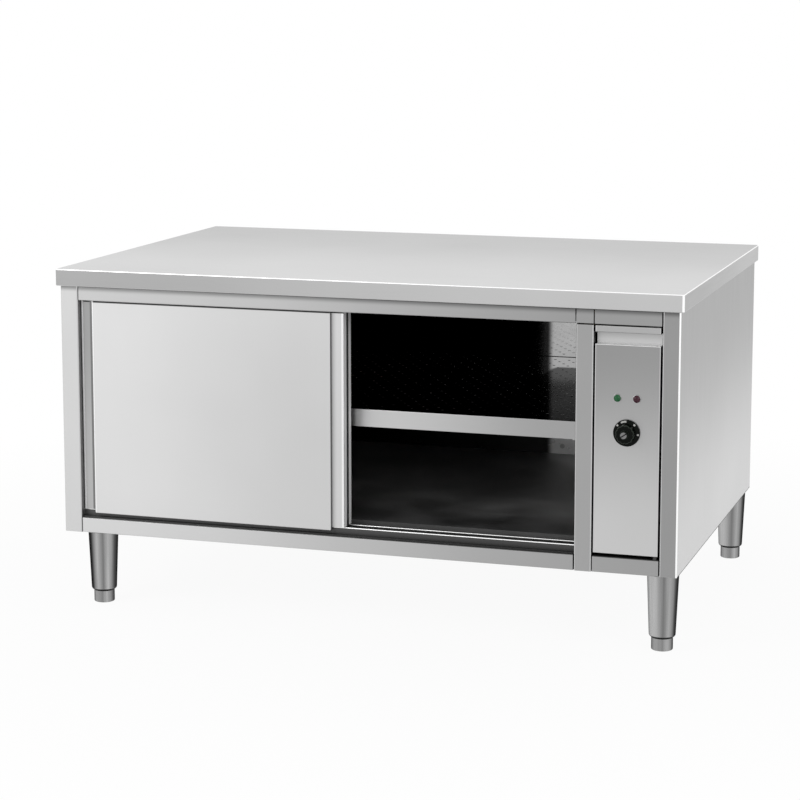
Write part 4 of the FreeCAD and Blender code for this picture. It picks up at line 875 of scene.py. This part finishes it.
# Painted light: the lip is lighter at its left end.
shelf_steel = brushed("shelf_steel", 0.54, 0.33, "x", run=("x", -0.03, 0.5, 0.36))
shelf_low, shelf_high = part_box("shelf")
shelf = bmesh.new()
pan(shelf, shelf_low, shelf_high, [
    (SKIN * 3, shelf_high.z - SKIN, 0),
    (SKIN, shelf_high.z - SKIN, 0.001),
    (SKIN, shelf_low.z, 0),
    (0, shelf_low.z, 0),
    (0, shelf_high.z, BEND),
    (BEND * 2, shelf_high.z, 0),
], PAN_CORNER, flat)
shelf_piece = keep(shelf, "shelf_tray", "cabinet", shelf_steel, "chamber_steel", "shelf")
# Painted shade: a near-black top whose grazing reflection is dimmed at the front right corner.
shelf_top = chamber_finish("shelf_top", 0.08, 0.04)
shaded_corner = product(shelf_top, drift(shelf_top, "x", 0.24, 0.29, 0, 1),
                      drift(shelf_top, "y", 0.35, 0.25, 0, 1))
treat(shelf_top, {"Specular Tint": between(shelf_top, shaded_corner, 1, 0.3)})
faced(shelf_piece, shelf_top, lambda normal, middle: normal.z > 0.99)
HOLE_PITCH = 0.037
HOLE_ROWS = 0.03
HOLE_RADIUS = 0.0036
HOLE_MARGIN = 0.03
HOLE_STEPS = 12
rim_steel = plain_finish("rim_steel", (0.1, 0.1, 0.1), 0.35, 1)
# Painted glints on the rims, fading towards the front as painted shade.
rim_glint = between(rim_steel, noise(rim_steel, (55, 55, 55), 2), -0.1, 0.3)
rim_front_shade = drift(rim_steel, "y", -0.42, 0.2, 0.2, 1)
treat(rim_steel, {"Base Color": product(rim_steel, rim_glint, rim_front_shade)})
hole_rim = bmesh.new()
turned(hole_rim, [
    (HOLE_RADIUS * 0.45, 0, 0),
    (HOLE_RADIUS, 0, 0),
    (HOLE_RADIUS, 0.00025, 0),
    (HOLE_RADIUS * 0.45, 0.00035, 0),
], (0, 0, 0), "z", HOLE_STEPS)
repeated(hole_rim, "shelf_hole_rims", "cabinet", rim_steel, "chamber_steel", {
    "Columns": int((shelf_high.x - shelf_low.x - HOLE_MARGIN) / HOLE_PITCH),
    "Rows": int((shelf_high.y - shelf_low.y - HOLE_MARGIN) / HOLE_ROWS),
    "Column Pitch": HOLE_PITCH,
    "Row Pitch": HOLE_ROWS,
    "Stagger": HOLE_PITCH / 2,
    "Middle": (*middle_of("shelf").xy, shelf_high.z),
})
dress(mill_steel, "shelf_rails")


# Control panel: one sheet folded into a shallow box front, with a finger pull pressed right across
# it below its top strip. It swings on two pins at its right. Brushed upright, the pull across. The
# panel darkens towards the top as painted shade, and so does the pull.
# Painted shade: the panel and its pull darken towards their tops.
panel_steel = brushed("panel_steel", 0.56, 0.36, "z", run=("z", 0.18, 0.76, 0.3))
pull_steel = brushed("pull_steel", 0.56, 0.36, "x", run=("z", 0.693, 0.719, 0.42))
panel_low, panel_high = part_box("control_panel")
PULL_TOP = panel_high.z - 0.015
PULL_BOTTOM = PULL_TOP - 0.026
PULL_DEPTH = 0.02
PANEL_EDGE = 0.0018
PANEL_BEND = 0.0018
PULL_BEND = 0.0012
panel = bmesh.new()
folded(panel, [
    (panel_high.y, panel_low.z + HALF_SKIN, 0),
    (front + HALF_SKIN, panel_low.z + HALF_SKIN, PANEL_BEND),
    (front + HALF_SKIN, PULL_BOTTOM - HALF_SKIN, PANEL_BEND),
    (front + PULL_DEPTH + HALF_SKIN, PULL_BOTTOM - HALF_SKIN, PULL_BEND),
    (front + PULL_DEPTH + HALF_SKIN, PULL_TOP + HALF_SKIN, PULL_BEND),
    (front + HALF_SKIN, PULL_TOP + HALF_SKIN, PANEL_BEND),
    (front + HALF_SKIN, panel_high.z - HALF_SKIN, PANEL_BEND),
    (panel_high.y, panel_high.z - HALF_SKIN, 0),
], SKIN, panel_low.x, panel_high.x, level, PANEL_EDGE)
for edge, inward in ((panel_low.x, 1), (panel_high.x, -1)):
    cheek = [Vector((front + SKIN, panel_low.z + SKIN)), Vector((panel_high.y, panel_low.z + SKIN)),
             Vector((panel_high.y, PULL_BOTTOM - SKIN)), Vector((front + SKIN, PULL_BOTTOM - SKIN))]
    bar(panel, cheek, edge + inward * HAIR, edge + inward * SKIN, level)
panel_piece = keep(panel, "control_panel_front", "control_door", panel_steel, "brushed_steel",
                   "control_panel")
faced(panel_piece, pull_steel, lambda normal, middle: middle.z > PULL_BOTTOM)
faced(panel_piece, lip_steel, lambda normal, middle: normal.y < FORWARD
      and not panel_low.x + PANEL_EDGE < middle.x < panel_high.x - PANEL_EDGE)
# Painted highlight on the pull's lower bend.
faced(panel_piece, nose_highlight_steel, lambda normal, middle: normal.z > 0.3
      and abs(middle.z - PULL_BOTTOM) < 0.003)
# Painted shade: near-black hinge pins, so that the gap they stand in stays dark.
pin_shade_steel = brushed("pin_shade_steel", 0.06, 0.5, "z")
dress(pin_shade_steel, "hinge_pins")
dress(mill_steel, "thermostat_bulb")


# Lamps: moulded lenses in bright turned bezels, pushed through the panel from the front. The
# green one shows mains, the red one shows heat.
bezel_metal = plain_finish("bezel_metal", (0.6, 0.6, 0.6), 0.18, 1)
glossed(bezel_metal, noise(bezel_metal, (200, 200, 200), 2), 0.14, 0.24)
bezel_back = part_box("lamp_bezels")[1].y
LENS_RADIUS = 0.008
BEZEL_RADIUS = 0.0096
BEZEL_RISE = 0.0025
BEZEL_LIP = 0.0008
DOME_RADIUS = LENS_RADIUS - HAIR
DOME_WALL = 0.0015
LAMP_STEPS = 40
LAMP_BODY_RADIUS = 0.0055
bezels = bmesh.new()
for colour, lit, dark in (("green", (0.02, 0.2, 0.06), (0.003, 0.04, 0.012)),
                          ("red", (0.09, 0.01, 0.03), (0.015, 0.002, 0.006))):
    dome_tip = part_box(f"lens_{colour}")[0].y - front
    middle = middle_of(f"lens_{colour}")
    middle.y = front
    turned(bezels, [
        (0, 0.02, 0),
        (0, 0, 0),
        (LENS_RADIUS, 0, 0),
        (LENS_RADIUS, -BEZEL_RISE, 0.0005),
        (LENS_RADIUS + BEZEL_LIP, -BEZEL_RISE, 0.0003),
        (BEZEL_RADIUS, 0, 0),
        (LAMP_BODY_RADIUS, 0, 0),
        (LAMP_BODY_RADIUS, bezel_back - front, 0),
        (0, bezel_back - front, 0),
    ], middle, "y", LAMP_STEPS)
    glass = plain_finish(f"{colour}_lens", lit, 0.12, 0)
    treat(glass, {"Specular IOR Level": 0.3})
    facets = noise(glass, (700, 700, 700), 2)
    tinted(glass, facets, dark, lit)
    grained(glass, facets, 0.3)
    dome = bmesh.new()
    turned(dome, [
        (0, -0.0005, 0),
        (DOME_RADIUS, -0.0005, 0),
        (DOME_RADIUS, -BEZEL_RISE - DOME_WALL, 0.001),
        (LENS_RADIUS * 0.45, dome_tip, 0.004),
        (0, dome_tip, 0),
    ], middle, "y", LAMP_STEPS)
    keep(dome, f"lens_{colour}_dome", "control_door", glass, f"{colour}_lens", f"lens_{colour}")
keep(bezels, "lamp_bezel_rings", "control_door", bezel_metal, "bezel_metal", "lamp_bezels")


# Thermostat knob: a glossy black moulding with a wide skirt for its marks and a fluted grip. A
# turned metal cap with a slot closes its hub. The thermostat sits behind the panel.
dark_plastic = moulded("dark_plastic", (0.03, 0.03, 0.03), 0.5)
dress(dark_plastic, "thermostat")
knob_plastic = moulded("knob_plastic", (0.003, 0.0045, 0.003), 0.2, 0.08)
knob_low, knob_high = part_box("thermostat_knob")
knob_middle = middle_of("thermostat_knob")
knob_middle.y = front
KNOB_GAP = 0.0015
SKIRT_RADIUS = 0.03
SKIRT_EDGE = KNOB_GAP + 0.0025
SKIRT_TOP = KNOB_GAP + 0.0045
SKIRT_STEPS = 96
GRIP_RADIUS = 0.022
GRIP_REACH = 0.024
GRIP_ROOT = KNOB_GAP + 0.003
GRIP_STEPS = 144
FLUTES = 12
FLUTE_DEPTH = 0.0016
HUB_RADIUS = 0.0095
SPINDLE_RADIUS = 0.003
KNOB_REACH = front - knob_low.y
HUB_TOP = -KNOB_REACH + 0.001
SPINDLE_END = knob_high.y - front
skirt = bmesh.new()
turned(skirt, [
    (0, SPINDLE_END, 0),
    (SPINDLE_RADIUS, SPINDLE_END, 0),
    (SPINDLE_RADIUS, -KNOB_GAP, 0),
    (SKIRT_RADIUS, -KNOB_GAP, 0),
    (SKIRT_RADIUS, -SKIRT_EDGE, 0.001),
    (GRIP_RADIUS, -SKIRT_TOP, 0),
    (0, -SKIRT_TOP, 0),
], knob_middle, "y", SKIRT_STEPS)
turned(skirt, [
    (0, -GRIP_ROOT, 0),
    (GRIP_RADIUS, -GRIP_ROOT, 0),
    (GRIP_RADIUS - 0.0012, -GRIP_REACH, 0.0022),
    (HUB_RADIUS, -GRIP_REACH, 0.001),
    (HUB_RADIUS, HUB_TOP, 0.001),
    (0, HUB_TOP, 0),
], knob_middle, "y", GRIP_STEPS, FLUTES, FLUTE_DEPTH)
knob_piece = keep(skirt, "knob_moulding", "knob", knob_plastic, "knob_plastic", "thermostat_knob")
# Painted highlight: a lighter ring round the front of the grip.
ring_highlight_plastic = moulded("ring_highlight_plastic", (0.02, 0.028, 0.02), 0.35)
faced(knob_piece, ring_highlight_plastic, lambda normal, middle: -0.97 < normal.y < -0.2
      and middle.y < front - GRIP_REACH + 0.0025)
CAP_RADIUS = 0.0072
CAP_DEPTH = 0.002
SLOT = 0.0026
SLOT_TURN = math.radians(35)
CAP_STEPS = 16


def on_panel(spot, along):
    """A point beside the knob's axis, seen from the front, at its place in front of the panel."""
    return knob_middle + Vector((spot.x, -along, spot.y))


def arc(radius, start, sweep, steps):
    """Points of a circle round the knob's axis."""
    angles = [start + sweep * step / steps for step in range(steps + 1)]
    return [radius * Vector((math.cos(angle), math.sin(angle))) for angle in angles]


cap = bmesh.new()
lean = math.asin(SLOT / 2 / CAP_RADIUS)
for half in (0, math.pi):
    bar(cap, arc(CAP_RADIUS, SLOT_TURN + half + lean, math.pi - 2 * lean, CAP_STEPS),
        KNOB_REACH - CAP_DEPTH, KNOB_REACH, on_panel)
cap_steel = brushed("cap_steel", 0.2, 0.3, "x")
keep(cap, "knob_cap", "knob", cap_steel, "bezel_metal")


# Marks of the skirt: short strokes of pale paint filled into it, one of them long. They turn with
# the knob.
MARK_RADIUS = 0.0262
MARK_HALF = 0.002
MARK_BACK = KNOB_GAP + 0.0028
MARK_FACE = KNOB_GAP + 0.0041
MARK_STEPS = 4
mark_paint = plain_finish("mark_paint", (0.6, 0.6, 0.58), 0.5, 0)
glossed(mark_paint, noise(mark_paint, (400, 400, 400), 2), 0.4, 0.6)
marks = bmesh.new()
for turn, sweep in ((-5, 9), (47, 10), (104, 28), (140, 9)):
    start = math.radians(turn - sweep / 2)
    outer, inner = (arc(radius, start, math.radians(sweep), MARK_STEPS)
                    for radius in (MARK_RADIUS + MARK_HALF, MARK_RADIUS - MARK_HALF))
    bar(marks, outer + inner[::-1], MARK_BACK, MARK_FACE, on_panel)
keep(marks, "knob_marks", "knob", mark_paint, "knob_plastic")


# Hot air unit: motor in the bay, cast impeller and tube heater inside the chamber under a pressed
# cover. Terminal block and cable gland serve the mains.
motor_paint = moulded("motor_paint", (0.1, 0.1, 0.1), 0.5)
cast_aluminium = plain_finish("cast_aluminium", (0.62, 0.62, 0.62), 0.45, 1)
cast_grain = noise(cast_aluminium, (300, 300, 300), 5)
grained(cast_aluminium, cast_grain, 0.3)
glossed(cast_aluminium, cast_grain, 0.38, 0.55)
heater_steel = plain_finish("heater_steel", (0.25, 0.2, 0.14), 0.4, 1)
heat_tint = noise(heater_steel, (25, 25, 25), 3)
tinted(heater_steel, heat_tint, (0.3, 0.22, 0.14), (0.14, 0.13, 0.16))
glossed(heater_steel, heat_tint, 0.3, 0.5)
dress(dark_plastic, "terminal_block", "cable_gland")
dress(motor_paint, "fan_motor")
dress(cast_aluminium, "fan_impeller")
dress(heater_steel, "heater_ring")


# Worktop: one heavy sheet folded down on all four sides with a narrow flange turned in below, over
# a board that stiffens it. Corners are welded and ground. Brushed across. Its top is painted lighter
# towards the front, and its skirts are darker copies of it with a painted falloff of light along them.
# Painted light and shade: the top lightens to the front, and the skirts are darker copies.
worktop_steel = brushed("worktop_steel", 0.61, 0.34, "x", run=("y", -0.5, 0.55, 0.46))
skirt_steel = brushed("skirt_steel", 0.41, 0.34, "x", run=("x", -0.75, 0.75, 0.54))
end_skirt_steel = brushed("end_skirt_steel", 0.37, 0.34, "y", run=("y", -0.5, 0.5, 0.46))
top_low, top_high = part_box("worktop")
TOP_BEND = 0.0021
LOW_BEND = 0.0025
FLANGE = 0.016
worktop = bmesh.new()
pan(worktop, top_low, top_high, [
    (FLANGE, top_high.z - SHEET, 0),
    (SHEET, top_high.z - SHEET, 0.0015),
    (SHEET, top_low.z + SHEET, 0.001),
    (FLANGE, top_low.z + SHEET, 0),
    (FLANGE, top_low.z, 0),
    (0, top_low.z, LOW_BEND),
    (0, top_high.z, TOP_BEND),
    (FLANGE, top_high.z, 0),
], CORNER_BEND, flat)
worktop_piece = keep(worktop, "worktop_sheet", "cabinet", worktop_steel, "worktop_steel", "worktop")
faced(worktop_piece, skirt_steel, lambda normal, middle: abs(normal.z) < 0.3)
faced(worktop_piece, end_skirt_steel, lambda normal, middle: abs(normal.x) > 0.9)
# Painted highlights along the worktop's top edges and front right corner.
faced(worktop_piece, highlight_steel, lambda normal, middle: 0.1 < normal.z < 0.98
      and (normal.y < -0.05 or normal.x > 0.05))
faced(worktop_piece, highlight_steel, lambda normal, middle: abs(normal.z) < 0.3
      and normal.x > 0.12 and normal.y < -0.12)
board = plain_finish("board", (0.5, 0.4, 0.28), 0.85, 0)
board_grain = noise(board, (40, 300, 300), 6)
tinted(board, board_grain, (0.42, 0.33, 0.22), (0.56, 0.46, 0.33))
grained(board, board_grain, 0.3)
dress(board, "worktop_underlay")


# Floor, light and camera: a plain pale floor that turns white away from the table, one large soft
# lamp from the front left and a weak one from the right, and the photograph's viewpoint.
def seen_itself(tree):
    """1 where a surface is looked at, straight or in a mirror, and 0 where it only gives light."""
    path = tree.nodes.new("ShaderNodeLightPath").outputs
    looked = added(tree, "ShaderNodeMath", {
        0: path["Is Camera Ray"], 1: path["Is Glossy Ray"]}, operation="MAXIMUM")
    return added(tree, "ShaderNodeMath", {
        0: looked, 1: path["Is Transmission Ray"]}, operation="MAXIMUM")


FLOOR_HALF = 30
FADE_START = 0.6
FADE_END = 2.2
FADE_NEAR = 0.93
ground = bmesh.new()
ground.faces.new([ground.verts.new((across * FLOOR_HALF, along * FLOOR_HALF, 0))
                  for across, along in ((-1, -1), (1, -1), (1, 1), (-1, 1))])
floor = placed(ground, "floor")
floor_finish = plain_finish("floor_finish", (0.85, 0.85, 0.85), 0.9, 0)
treat(floor_finish, {"Specular IOR Level": 0})
tree = floor_finish.node_tree
where = added(tree, "ShaderNodeTexCoord", {}, "Object")
away = added(tree, "ShaderNodeVectorMath", {0: where}, "Value", "LENGTH")
fade = mapped(floor_finish, away, FADE_START, FADE_END, FADE_NEAR, 1)
shown = product(floor_finish, seen_itself(tree), fade)
fill(tree.nodes["Material Output"], {"Surface": added(tree, "ShaderNodeMixShader", {
    "Fac": shown,
    1: tree.nodes["Principled BSDF"].outputs["BSDF"],
    2: added(tree, "ShaderNodeEmission", {}),
})})
floor.data.materials.append(floor_finish)

world = bpy.data.worlds.new("studio")
bpy.context.scene.world = world
world.use_nodes = True
WORLD_LIGHT = 0.5
WORLD_SHOWN = 1
strength = mapped(world, seen_itself(world.node_tree), 0, 1, WORLD_LIGHT, WORLD_SHOWN)
fill(world.node_tree.nodes["Background"], {"Color": (1, 1, 1, 1), "Strength": strength})
LAMP_SIZE = 2.5
LAMP_TARGET = Vector((0, 0, 0.4))


def soft_lamp(name, power, spot):
    """A square area lamp that looks at the table's middle."""
    lamp = bpy.data.lights.new(name, "AREA")
    lamp.energy = power
    lamp.size = LAMP_SIZE
    holder = bpy.data.objects.new(name, lamp)
    holder.location = spot
    holder.rotation_euler = (LAMP_TARGET - Vector(spot)).to_track_quat("-Z", "Y").to_euler()
    bpy.context.scene.collection.objects.link(holder)


soft_lamp("key", 60, (-2.6, -3.2, 2.6))
soft_lamp("fill", 20, (3.2, -2.0, 2.0))

CAMERA_DIP = 8.3644
CAMERA_TURN = 17.7025
view = bpy.data.cameras.new("camera")
view.lens = 105.822
view.sensor_width = 36
view.shift_y = -0.1
camera = bpy.data.objects.new("camera", view)
camera.location = (1.69668, -5.49221, 1.49681)
camera.rotation_euler = (math.radians(90 - CAMERA_DIP), 0, math.radians(CAMERA_TURN))
bpy.context.scene.collection.objects.link(camera)
bpy.context.scene.camera = camera
bpy.context.scene.render.resolution_x = 800
bpy.context.scene.render.resolution_y = 800
bpy.context.scene.view_settings.view_transform = "Standard"
